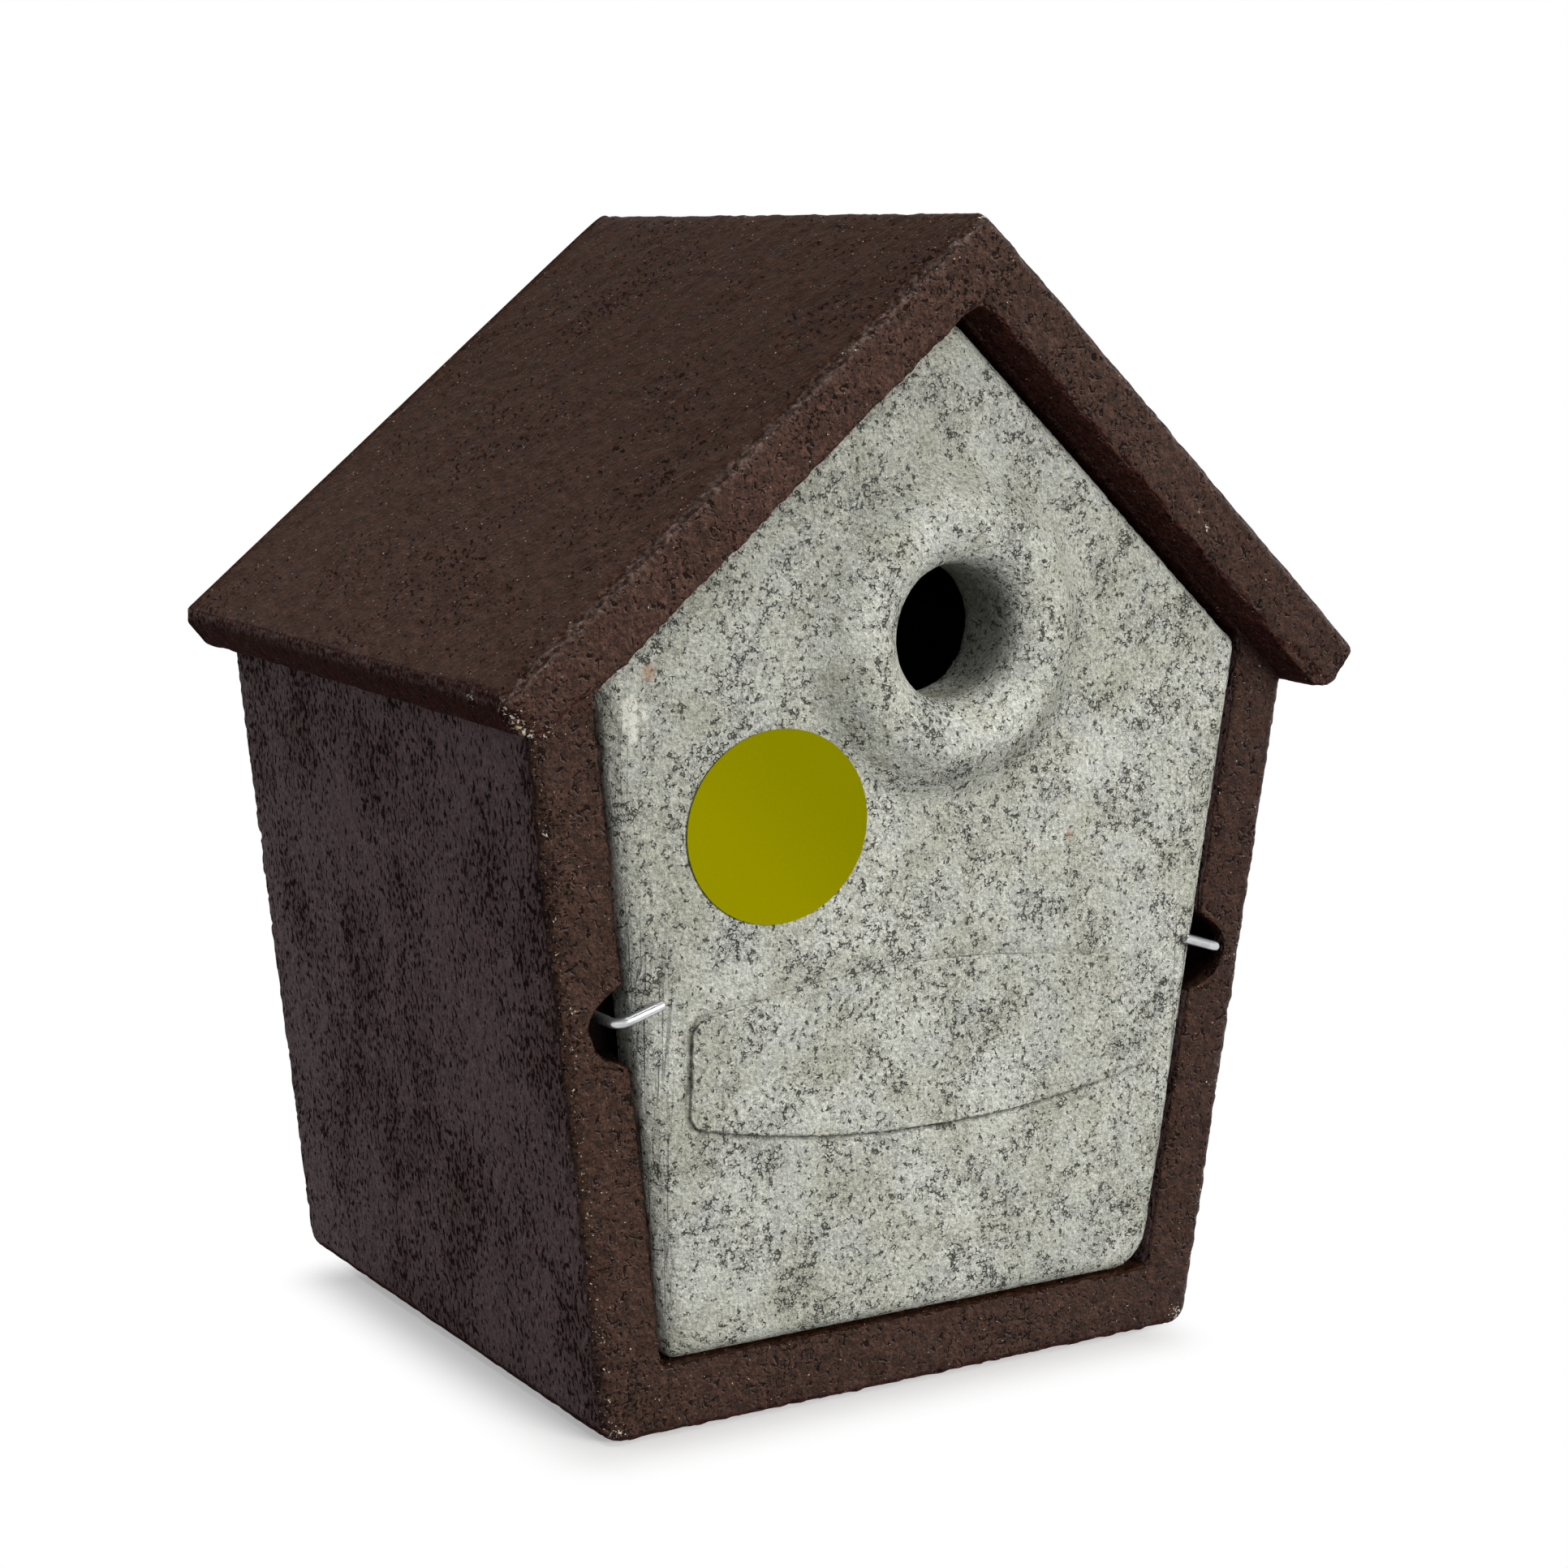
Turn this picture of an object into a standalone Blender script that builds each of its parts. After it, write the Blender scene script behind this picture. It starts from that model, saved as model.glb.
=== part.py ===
"""Woodcrete nest box. A cast shell with a gabled roof holds a lift-out front with a flared
entrance, and two wire hooks turn over the edges of the front. Metres, +Z up. The front faces
-Y, and the origin is on the ground, under the ridge and at the middle of the roof's depth."""

from math import atan2, cos, pi, radians, sin, tan

import bmesh
import bpy
from mathutils import Vector

# Roof
RIDGE_HEIGHT = 0.2905
ROOF_WIDTH = 0.2536
ROOF_DEPTH = 0.180
EAVE_HEIGHT = 0.181
ROOF_THICKNESS = 0.017
RIDGE_ROUND = 0.005
EAVE_ROUND = 0.0045
UNDERSIDE_ROUND = 0.002
ROOF_EDGE_ROUND = 0.004

# Walls, floor and back
FRONT_OVERHANG = 0.013
BASE_WIDTH = 0.178
WALL_THICKNESS = 0.017
FLOOR_THICKNESS = 0.018
BACK_THICKNESS = 0.017
BASE_CORNER_ROUND = 0.006
WALL_EDGE_ROUND = 0.0035
WALL_LEAN = radians(7.5)

# Seat of the front, and the nesting chamber behind it
SLOPE_STEP = 0.0006
SEAT_CORNER_ROUND = 0.0005
LEDGE_WIDTH = 0.005
CHAMBER_DRAFT = 0.002
CHAMBER_CORNER_ROUND = 0.012
CHAMBER_BACK_ROUND = 0.008

# Front
FRONT_THICKNESS = 0.012
FRONT_PROUD = 0.0025
FRONT_SIDE_GAP = 0.001
FRONT_SLOPE_GAP = 0.0013
SEAT_GAP = 0.0003
FACE_ROUND = 0.006
REAR_CHAMFER = 0.001
LOWER_LEFT_ROUND = 0.004
LOWER_RIGHT_ROUND = 0.012
SHOULDER_ROUND = 0.005
PEAK_ROUND = 0.006

# Entrance
ENTRANCE_DIAMETER = 0.032
ENTRANCE_HEIGHT = 0.190
NOSE_PROUD = 0.0085
LIP_ROUND = 0.006
CREST_WIDTH = 0.0025
FLARE_WIDTH = 0.0135

# Hooks and the notches they turn in
WIRE_DIAMETER = 0.0025
HOOK_HEIGHT = 0.1035
LEG_SET_IN = 0.0124
LEG_BURIED = 0.020
ARM_LENGTH = 0.0125
BEND_RADIUS = 0.0022
RUNNING_GAP = 0.0003
NOTCH_RADIUS = 0.0085
NOTCH_DEPTH = 0.013
NOTCH_DROP = 0.0015
ARM_RISE = radians(17)

# Holes through the back and the floor
HANGING_DIAMETER = 0.009
HANGING_HEIGHT = 0.225
DRAIN_DIAMETER = 0.008
DRAIN_SPACING = 0.070

# Round label on the front
LABEL_WIDTH = 0.050
LABEL_HEIGHT = 0.0465
LABEL_THICKNESS = 0.0004
LABEL_INSET = 0.0197
LABEL_BELOW_ENTRANCE = 0.044

# Overrun of every cutter past the face that it opens, and the least radius of any corner
OVERRUN = 0.004
LEAST_ROUND = 0.0003

# Counts
CORNER_STEPS = 4
EDGE_STEPS = 3
LIP_STEPS = 5
FLARE_STEPS = 9
BEND_STEPS = 6
HOLE_SIDES = 24
NOTCH_SIDES = 36
LABEL_SIDES = 48
WIRE_SIDES_SETTING = 4
FRONT_SIDE_STEPS = (12, 16, 16, 16, 16)

# Places that follow from the sizes above
PITCH = atan2(RIDGE_HEIGHT - EAVE_HEIGHT, ROOF_WIDTH / 2)
ROOF_FRONT = -ROOF_DEPTH / 2
BACK = ROOF_DEPTH / 2
WALL_FRONT = ROOF_FRONT + FRONT_OVERHANG
FACE = WALL_FRONT - FRONT_PROUD
FRONT_REAR = FACE + FRONT_THICKNESS
LEDGE = FRONT_REAR + SEAT_GAP
CHAMBER_BACK = BACK - BACK_THICKNESS
NOTCH_BACK = WALL_FRONT + NOTCH_DEPTH
LEG_END = NOTCH_BACK + LEG_BURIED
ENTRANCE_RADIUS = ENTRANCE_DIAMETER / 2
OPENING_SLOPE = ROOF_THICKNESS + SLOPE_STEP


def clear_scene():
    for thing in list(bpy.data.objects):
        bpy.data.objects.remove(thing)


def make_material(name, colour, roughness, metallic):
    material = bpy.data.materials.new(name)
    material.use_nodes = True
    shader = material.node_tree.nodes["Principled BSDF"]
    shader.inputs["Base Color"].default_value = (*colour, 1)
    shader.inputs["Roughness"].default_value = roughness
    shader.inputs["Metallic"].default_value = metallic
    return material


def brown_woodcrete():
    return make_material("brown_woodcrete", colour=(0.045, 0.025, 0.020), roughness=0.62, metallic=0)


def grey_woodcrete():
    return make_material("grey_woodcrete", colour=(0.44, 0.46, 0.42), roughness=0.9, metallic=0)


def galvanised_wire():
    return make_material("galvanised_wire", colour=(0.62, 0.63, 0.64), roughness=0.3, metallic=1)


def olive_paper():
    return make_material("olive_paper", colour=(0.26, 0.26, 0.0), roughness=0.6, metallic=0)


def add_object(name, mesh, material=None):
    thing = bpy.data.objects.new(name, mesh)
    bpy.context.scene.collection.objects.link(thing)
    if material:
        mesh.materials.append(material)
    return thing


def shade_round(mesh):
    mesh.shade_smooth()
    mesh.set_sharp_from_angle(angle=radians(35))


# Outlines, as points (x, z) seen from the front, anticlockwise
def gable_corners(side_depth, slope_depth, floor_height):
    """The house shape whose sides lie side_depth inside the walls' outer faces, and whose
    slopes lie slope_depth under the roof's top. Feet, right shoulder, peak, left shoulder."""
    half_at_ground = BASE_WIDTH / 2 - side_depth
    peak = RIDGE_HEIGHT - slope_depth / cos(PITCH)
    shoulder = (half_at_ground + peak * tan(WALL_LEAN)) / (1 + tan(PITCH) * tan(WALL_LEAN))
    shoulder_height = peak - shoulder * tan(PITCH)
    foot = half_at_ground + floor_height * tan(WALL_LEAN)
    return [
        Vector((-foot, floor_height)),
        Vector((foot, floor_height)),
        Vector((shoulder, shoulder_height)),
        Vector((0, peak)),
        Vector((-shoulder, shoulder_height)),
    ]


def roof_corners():
    """The bent slab: its underside from left to right, then its top from right to left."""
    low_x = ROOF_WIDTH / 2 - ROOF_THICKNESS * sin(PITCH)
    low_z = EAVE_HEIGHT - ROOF_THICKNESS * cos(PITCH)
    return [
        Vector((-low_x, low_z)),
        Vector((0, RIDGE_HEIGHT - ROOF_THICKNESS / cos(PITCH))),
        Vector((low_x, low_z)),
        Vector((ROOF_WIDTH / 2, EAVE_HEIGHT)),
        Vector((0, RIDGE_HEIGHT)),
        Vector((-ROOF_WIDTH / 2, EAVE_HEIGHT)),
    ]


def inward(start, end):
    along = (end - start).normalized()
    return Vector((-along.y, along.x))


def inset_outline(corners, rounds, side_steps, inset):
    """The outline with every side moved in by inset and every corner turned into an arc."""
    count = len(corners)
    moved = []
    kept_rounds = []
    for index, corner in enumerate(corners):
        first = inward(corners[index - 1], corner)
        second = inward(corner, corners[(index + 1) % count])
        moved.append(corner + (first + second) * inset / (1 + first.dot(second)))
        outward_corner = first.cross(second) > 0
        kept = rounds[index] - inset if outward_corner else rounds[index] + inset
        kept_rounds.append(max(kept, LEAST_ROUND))
    starts, arcs = [], []
    for index, corner in enumerate(moved):
        before = (moved[index - 1] - corner).normalized()
        after = (moved[(index + 1) % count] - corner).normalized()
        half_angle = before.angle(after) / 2
        radius = kept_rounds[index]
        centre = corner + (before + after).normalized() * radius / sin(half_angle)
        start = corner + before * radius / tan(half_angle) - centre
        end = corner + after * radius / tan(half_angle) - centre
        sweep = start.angle_signed(end)
        arc = []
        for step in range(CORNER_STEPS + 1):
            turn = sweep * step / CORNER_STEPS
            arc.append(centre + turned(start, -turn))
        starts.append(arc[0])
        arcs.append(arc)
    points = []
    for index, arc in enumerate(arcs):
        points.extend(arc)
        following = starts[(index + 1) % count]
        for step in range(1, side_steps[index]):
            points.append(arc[-1].lerp(following, step / side_steps[index]))
    return points


def turned(vector, angle):
    return Vector((
        vector.x * cos(angle) - vector.y * sin(angle),
        vector.x * sin(angle) + vector.y * cos(angle),
    ))


def edge_places(face, radius, direction):
    """Places (y, inset) of the rings that round the edge of a face over to the sides."""
    places = []
    for step in range(EDGE_STEPS + 1):
        angle = step / EDGE_STEPS * pi / 2
        places.append((face + direction * radius * (1 - cos(angle)), radius * (1 - sin(angle))))
    return places


# Meshes
def mesh_from_rings(name, rings, closed_loop=False):
    """Rings of equal counts, joined one to the next and capped, or joined last to first."""
    shape = bmesh.new()
    rows = [[shape.verts.new(point) for point in ring] for ring in rings]
    pairs = list(zip(rows, rows[1:]))
    if closed_loop:
        pairs.append((rows[-1], rows[0]))
    for row, following in pairs:
        for index in range(len(row)):
            shape.faces.new((row[index - 1], row[index], following[index], following[index - 1]))
    if not closed_loop:
        shape.faces.new(rows[0])
        shape.faces.new(rows[-1])
    bmesh.ops.recalc_face_normals(shape, faces=shape.faces)
    mesh = bpy.data.meshes.new(name)
    shape.to_mesh(mesh)
    shape.free()
    return mesh


def prism_mesh(name, corners, rounds, places):
    side_steps = (1,) * len(corners)
    rings = []
    for y, inset in places:
        outline = inset_outline(corners, rounds, side_steps, inset)
        rings.append([Vector((point.x, y, point.y)) for point in outline])
    return mesh_from_rings(name, rings)


def cylinder_mesh(name, radius, sides, low, high, axis):
    """A cylinder through the origin, from low to high along axis (Y or Z)."""
    rings = []
    for along in (low, high):
        ring = []
        for side in range(sides):
            angle = 2 * pi * side / sides
            across = radius * cos(angle)
            other = radius * sin(angle)
            ring.append((across, along, other) if axis == "Y" else (across, other, along))
        rings.append(ring)
    return mesh_from_rings(name, rings)


# Shell
def add_helper(name, mesh, shell, location=(0, 0, 0)):
    helper = add_object(name, mesh)
    helper.location = location
    helper.parent = shell
    helper.hide_render = True
    helper.display_type = "WIRE"
    return helper


def combine(shell, helper, operation):
    modifier = shell.modifiers.new(helper.name, "BOOLEAN")
    modifier.operation = operation
    modifier.object = helper


def roof_mesh():
    rounds = (EAVE_ROUND, UNDERSIDE_ROUND, EAVE_ROUND, EAVE_ROUND, RIDGE_ROUND, EAVE_ROUND)
    places = edge_places(ROOF_FRONT, ROOF_EDGE_ROUND, 1)
    places.append((BACK + OVERRUN, 0))
    return prism_mesh("body_shell", roof_corners(), rounds, places)


def walls_mesh():
    """The solid block under the roof, whose slopes end inside the slab."""
    corners = gable_corners(0, ROOF_THICKNESS / 2, 0)
    rounds = (BASE_CORNER_ROUND, BASE_CORNER_ROUND, SHOULDER_ROUND, PEAK_ROUND, SHOULDER_ROUND)
    places = edge_places(WALL_FRONT, WALL_EDGE_ROUND, 1)
    places.append((BACK + 2 * OVERRUN, 0))
    return prism_mesh("walls_block", corners, rounds, places)


def back_trim_mesh():
    """Everything behind the flat back."""
    half_width = ROOF_WIDTH / 2 + OVERRUN
    corners = [
        Vector((-half_width, -OVERRUN)),
        Vector((half_width, -OVERRUN)),
        Vector((half_width, RIDGE_HEIGHT + OVERRUN)),
        Vector((-half_width, RIDGE_HEIGHT + OVERRUN)),
    ]
    rings = []
    for y in (BACK, BACK + 3 * OVERRUN):
        rings.append([(corner.x, y, corner.y) for corner in corners])
    return mesh_from_rings("back_trim", rings)


def front_seat_mesh():
    """The recess that the front drops into, open towards -Y and stopped by the ledge."""
    corners = gable_corners(WALL_THICKNESS, OPENING_SLOPE, FLOOR_THICKNESS)
    rounds = (SEAT_CORNER_ROUND, SEAT_CORNER_ROUND, SHOULDER_ROUND, PEAK_ROUND, SHOULDER_ROUND)
    places = [(ROOF_FRONT - OVERRUN, 0), (LEDGE, 0)]
    return prism_mesh("front_seat", corners, rounds, places)


def chamber_mesh():
    """The nesting chamber, a little narrower at its back so that its core draws out."""
    side = WALL_THICKNESS + LEDGE_WIDTH
    corners = gable_corners(side, OPENING_SLOPE + LEDGE_WIDTH, FLOOR_THICKNESS + LEDGE_WIDTH)
    rounds = (CHAMBER_CORNER_ROUND,) * len(corners)
    places = [(LEDGE - OVERRUN, 0)]
    for y, inset in reversed(edge_places(CHAMBER_BACK, CHAMBER_BACK_ROUND, -1)):
        places.append((y, inset + CHAMBER_DRAFT))
    return prism_mesh("chamber", corners, rounds, places)


def seat_half_width(height):
    return BASE_WIDTH / 2 - WALL_THICKNESS + height * tan(WALL_LEAN)


def hook_axis(side):
    """Place of a hook's leg: the point on it where the arm's centre line would cross."""
    outer = BASE_WIDTH / 2 + HOOK_HEIGHT * tan(WALL_LEAN)
    return Vector((side * (outer - LEG_SET_IN), FACE - SEAT_GAP - WIRE_DIAMETER / 2, HOOK_HEIGHT))


def add_wall_holes(shell):
    """On each side, the notch in the wall's front edge and the hole its hook's leg turns in."""
    notch = cylinder_mesh("notch", NOTCH_RADIUS, NOTCH_SIDES, WALL_FRONT - OVERRUN, NOTCH_BACK, "Y")
    hole_radius = WIRE_DIAMETER / 2 + RUNNING_GAP
    hole_start = NOTCH_BACK - OVERRUN
    leg_hole = cylinder_mesh("leg_hole", hole_radius, HOLE_SIDES, hole_start, LEG_END + RUNNING_GAP, "Y")
    notch_height = HOOK_HEIGHT - NOTCH_DROP
    cutters = []
    for side, side_name in ((-1, "left"), (1, "right")):
        axis = hook_axis(side)
        cutters.append(add_helper(f"{side_name}_leg_hole", leg_hole, shell, (axis.x, 0, axis.z)))
        edge = (side * seat_half_width(notch_height), 0, notch_height)
        cutters.append(add_helper(f"{side_name}_notch", notch, shell, edge))
    return cutters


def add_through_holes(shell):
    """One hole through the back for a nail, and two that drain the floor."""
    radius = HANGING_DIAMETER / 2
    hanging = cylinder_mesh("hanging", radius, HOLE_SIDES, CHAMBER_BACK - OVERRUN, BACK + OVERRUN, "Y")
    cutters = [add_helper("hanging_hole", hanging, shell, (0, 0, HANGING_HEIGHT))]
    floor_top = FLOOR_THICKNESS + LEDGE_WIDTH
    drain = cylinder_mesh("drain", DRAIN_DIAMETER / 2, HOLE_SIDES, -OVERRUN, floor_top + OVERRUN, "Z")
    for side, side_name in ((-1, "left"), (1, "right")):
        cutters.append(add_helper(f"{side_name}_drain", drain, shell, (side * DRAIN_SPACING / 2, 0, 0)))
    return cutters


def make_shell(material):
    shell = add_object("body_shell", roof_mesh(), material)
    combine(shell, add_helper("walls_block", walls_mesh(), shell), "UNION")
    cutters = add_wall_holes(shell) + add_through_holes(shell)
    cutters.append(add_helper("chamber", chamber_mesh(), shell))
    cutters.append(add_helper("front_seat", front_seat_mesh(), shell))
    cutters.append(add_helper("back_trim", back_trim_mesh(), shell))
    for cutter in cutters:
        combine(shell, cutter, "DIFFERENCE")
    return shell


# Front
def nose_profile():
    """Places (radius, y) from the bore's rear edge, round the lip, over the crest and down
    the flare to the face."""
    crest_y = FACE - NOSE_PROUD
    places = [(ENTRANCE_RADIUS, FRONT_REAR)]
    for step in range(LIP_STEPS + 1):
        angle = step / LIP_STEPS * pi / 2
        radius = ENTRANCE_RADIUS + LIP_ROUND * (1 - cos(angle))
        places.append((radius, crest_y + LIP_ROUND * (1 - sin(angle))))
    flare_start = ENTRANCE_RADIUS + LIP_ROUND + CREST_WIDTH
    for step in range(FLARE_STEPS + 1):
        share = step / FLARE_STEPS
        fall = (1 - cos(pi * share)) / 2
        places.append((flare_start + FLARE_WIDTH * share, crest_y + NOSE_PROUD * fall))
    return places


def make_front(material):
    """One loft from the bore out to the edge: circles for the nose, then house outlines."""
    corners = gable_corners(
        WALL_THICKNESS + FRONT_SIDE_GAP,
        OPENING_SLOPE + FRONT_SLOPE_GAP,
        FLOOR_THICKNESS + SEAT_GAP,
    )
    rounds = (LOWER_LEFT_ROUND, LOWER_RIGHT_ROUND, SHOULDER_ROUND, PEAK_ROUND, SHOULDER_ROUND)
    face_outline = inset_outline(corners, rounds, FRONT_SIDE_STEPS, FACE_ROUND)
    spokes = []
    for point in face_outline:
        spokes.append(Vector((point.x, point.y - ENTRANCE_HEIGHT)).normalized())
    rings = []
    for radius, y in nose_profile():
        rings.append([(radius * s.x, y, ENTRANCE_HEIGHT + radius * s.y) for s in spokes])
    places = edge_places(FACE, FACE_ROUND, 1)
    places.append((FRONT_REAR - REAR_CHAMFER, 0))
    places.append((FRONT_REAR, REAR_CHAMFER))
    for y, inset in places:
        outline = inset_outline(corners, rounds, FRONT_SIDE_STEPS, inset)
        rings.append([(point.x, y, point.y) for point in outline])
    mesh = mesh_from_rings("front_panel", rings, closed_loop=True)
    shade_round(mesh)
    return add_object("front_panel", mesh, material)


def make_label(material, front):
    """A thin oval of paper, lying on the flat of the face beside the flare."""
    rings = []
    for y in (-LABEL_THICKNESS - SEAT_GAP, -SEAT_GAP):
        ring = []
        for side in range(LABEL_SIDES):
            angle = 2 * pi * side / LABEL_SIDES
            ring.append((LABEL_WIDTH / 2 * cos(angle), y, LABEL_HEIGHT / 2 * sin(angle)))
        rings.append(ring)
    label = add_object("round_label", mesh_from_rings("round_label", rings), material)
    height = ENTRANCE_HEIGHT - LABEL_BELOW_ENTRANCE
    front_edge = seat_half_width(height) - FRONT_SIDE_GAP
    label.location = (LABEL_INSET + LABEL_WIDTH / 2 - front_edge, FACE, height)
    label.parent = front
    return label


# Hooks
def make_hook(name, side, material):
    """Round wire: an arm across the front's edge, a bend, and a leg that turns in the wall."""
    axis = hook_axis(side)
    across = Vector((-side * cos(ARM_RISE), 0, sin(ARM_RISE)))
    back = Vector((0, 1, 0))
    route = [across * ARM_LENGTH]
    for step in range(BEND_STEPS + 1):
        angle = step / BEND_STEPS * pi / 2
        route.append(across * BEND_RADIUS * (1 - sin(angle)) + back * BEND_RADIUS * (1 - cos(angle)))
    route.append(back * (LEG_END - axis.y))
    curve = bpy.data.curves.new(name, "CURVE")
    curve.dimensions = "3D"
    curve.bevel_depth = WIRE_DIAMETER / 2
    curve.bevel_resolution = WIRE_SIDES_SETTING
    curve.use_fill_caps = True
    spline = curve.splines.new("POLY")
    spline.points.add(len(route) - 1)
    for spline_point, place in zip(spline.points, route):
        spline_point.co = (*place, 1)
    hook = add_object(name, curve, material)
    hook.location = axis
    return hook


def build():
    clear_scene()
    make_shell(brown_woodcrete())
    front = make_front(grey_woodcrete())
    make_label(olive_paper(), front)
    wire = galvanised_wire()
    make_hook("left_hook", -1, wire)
    make_hook("right_hook", 1, wire)


build()
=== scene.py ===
from math import atan2, cos, pi, radians, sin, tan

import bpy
import numpy as np
from mathutils import Matrix, Vector


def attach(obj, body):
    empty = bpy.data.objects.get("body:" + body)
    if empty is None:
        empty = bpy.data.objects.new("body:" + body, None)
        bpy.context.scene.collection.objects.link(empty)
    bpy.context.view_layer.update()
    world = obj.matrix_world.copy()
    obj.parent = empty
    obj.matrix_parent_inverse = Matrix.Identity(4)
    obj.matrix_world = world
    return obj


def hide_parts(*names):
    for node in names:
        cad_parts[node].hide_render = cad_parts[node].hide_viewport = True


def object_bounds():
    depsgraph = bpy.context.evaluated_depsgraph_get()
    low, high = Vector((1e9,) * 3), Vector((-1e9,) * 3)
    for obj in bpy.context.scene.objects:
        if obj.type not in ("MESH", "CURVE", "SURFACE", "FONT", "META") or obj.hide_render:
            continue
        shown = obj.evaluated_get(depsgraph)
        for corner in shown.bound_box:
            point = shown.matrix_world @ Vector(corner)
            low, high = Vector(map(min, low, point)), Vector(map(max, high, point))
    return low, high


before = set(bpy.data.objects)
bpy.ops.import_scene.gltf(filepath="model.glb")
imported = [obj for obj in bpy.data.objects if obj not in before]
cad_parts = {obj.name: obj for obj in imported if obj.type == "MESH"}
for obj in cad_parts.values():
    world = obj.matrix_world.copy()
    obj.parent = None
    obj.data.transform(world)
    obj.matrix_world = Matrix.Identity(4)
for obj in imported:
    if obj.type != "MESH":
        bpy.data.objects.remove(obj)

cadLow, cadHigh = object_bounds()
print("frame loaded, box", [round(side, 4) for side in cadHigh - cadLow])

# Shapes shared by the roof, the walls and the front, as they are in the frame
house = dict(
    ridgeHeight=0.2905,
    eaveHeight=0.181,
    roofWidth=0.2536,
    roofThickness=0.017,
    baseWidth=0.178,
    wallThickness=0.017,
    floorThickness=0.018,
    wallLean=radians(7.5),
    overhang=0.013,
    shoulderRound=0.005,
    peakRound=0.006,
)
roofFront, back = cadLow.y, cadHigh.y
wallFront = roofFront + house["overhang"]
pitch = atan2(house["ridgeHeight"] - house["eaveHeight"], house["roofWidth"] / 2)


# Repeatable noise, worked out for whole arrays of points
hashing = dict(x=374761393, y=668265263, z=1440662683, seed=1274126177, shift=15)


def lattice(cells, seed):
    # Multiplies and folds the three whole numbers of a cell into one value from 0 to 1.
    mixed = cells[..., 0] * hashing["x"] + cells[..., 1] * hashing["y"]
    mixed = mixed + cells[..., 2] * hashing["z"] + seed * hashing["seed"]
    mixed = mixed & 0xFFFFFFFF
    mixed = ((mixed ^ (mixed >> hashing["shift"])) * hashing["seed"]) & 0xFFFFFFFF
    mixed = ((mixed ^ (mixed >> hashing["shift"])) * hashing["y"]) & 0xFFFFFFFF
    return (mixed ^ (mixed >> hashing["shift"])) / 2**32


def corners3():
    return np.array([(i, j, k) for i in (0, 1) for j in (0, 1) for k in (0, 1)])


def softNoise(points, size, seed):
    # Values at the corners of a lattice of that size, eased in between by 3t^2 - 2t^3.
    scaled = points / size
    cells = np.floor(scaled).astype(np.int64)
    share = scaled - cells
    share = share * share * (3 - 2 * share)
    total = np.zeros(len(points))
    for corner in corners3():
        weight = np.where(corner, share, 1 - share).prod(axis=1)
        total += weight * lattice(cells + corner, seed)
    return total


def layeredNoise(points, size, seed, layers):
    # Soft noise plus ever finer and weaker copies of itself, each half the size and strength.
    total, strength = np.zeros(len(points)), 0
    for layer in range(layers):
        total += softNoise(points, size / 2**layer, seed + layer) / 2**layer
        strength += 1 / 2**layer
    return total / strength


def pitField(points, size, seed, reach):
    # One pit in each lattice cell, at a chance place and of a chance radius up to reach cells,
    # with the profile (1 - d^2)^2. The answer is 1 in the middle of a pit and 0 outside.
    scaled = points / size
    cells = np.floor(scaled - 0.5).astype(np.int64)
    deepest = np.zeros(len(points))
    for corner in corners3():
        cell = cells + corner
        place = cell + np.stack([lattice(cell, seed + axis) for axis in (1, 2, 3)], axis=1)
        radius = reach * (0.35 + 0.65 * lattice(cell, seed + 4))
        distance = np.linalg.norm(scaled - place, axis=1) / radius
        deepest = np.maximum(deepest, np.clip(1 - distance**2, 0, 1) ** 2)
    return deepest


def easeStep(values, low, high):
    # 0 below low, 1 above high, and 3t^2 - 2t^3 in between.
    share = np.clip((values - low) / (high - low), 0, 1)
    return share * share * (3 - 2 * share)


# Grids and closed surfaces
def gridQuads(rows, columns, wrapRows=0, wrapColumns=0):
    # Quads between neighbours of a rows by columns grid, joined round each way that wraps.
    index = np.arange(rows * columns).reshape(rows, columns)
    index = np.pad(index, ((0, wrapRows), (0, wrapColumns)), mode="wrap")
    sides = (index[:-1, :-1], index[1:, :-1], index[1:, 1:], index[:-1, 1:])
    return np.stack(sides, axis=-1).reshape(-1, 4)


def boxSurface(*lines):
    # The skin of a box whose faces are divided at the given places along each axis.
    counts = [len(line) for line in lines]
    patches, quads, used = [], [], 0
    for axis in range(3):
        across, along = (axis + 1) % 3, (axis + 2) % 3
        for level in (0, counts[axis] - 1):
            patch = np.zeros((counts[across], counts[along], 3), np.int64)
            patch[..., axis] = level
            patch[..., across] = np.arange(counts[across])[:, None]
            patch[..., along] = np.arange(counts[along])
            faces = gridQuads(counts[across], counts[along])
            quads.append((faces if level else faces[:, ::-1]) + used)
            patches.append(patch.reshape(-1, 3))
            used += patch.shape[0] * patch.shape[1]
    places = np.concatenate(patches)
    keys = (places[:, 0] * counts[1] + places[:, 1]) * counts[2] + places[:, 2]
    _, first, welded = np.unique(keys, return_index=True, return_inverse=True)
    kept = places[first]
    points = np.stack([np.asarray(lines[axis])[kept[:, axis]] for axis in range(3)], axis=1)
    return points, welded.reshape(-1)[np.concatenate(quads)]


def roundOff(points, half, radii):
    # Pulls the skin of a box onto the same box with rounded edges: each point goes to the
    # nearest place of the inner box, and then outwards along an ellipsoid with these radii.
    core = np.clip(points, -(half - radii), half - radii)
    away = (points - core) / radii
    return core + away / np.linalg.norm(away, axis=1, keepdims=True) * radii


def spreadLine(low, high, fine, coarse, reach):
    # Places from low to high whose spacing is fine over the first reach and grows to coarse.
    sample = np.linspace(low, high, 2000)
    spacing = fine + (coarse - fine) * easeStep(sample, low + reach, low + 3 * reach)
    steps = np.concatenate([[0], np.cumsum(np.diff(sample) / spacing[1:])])
    return np.interp(np.linspace(0, steps[-1], round(steps[-1]) + 1), steps, sample)


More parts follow.
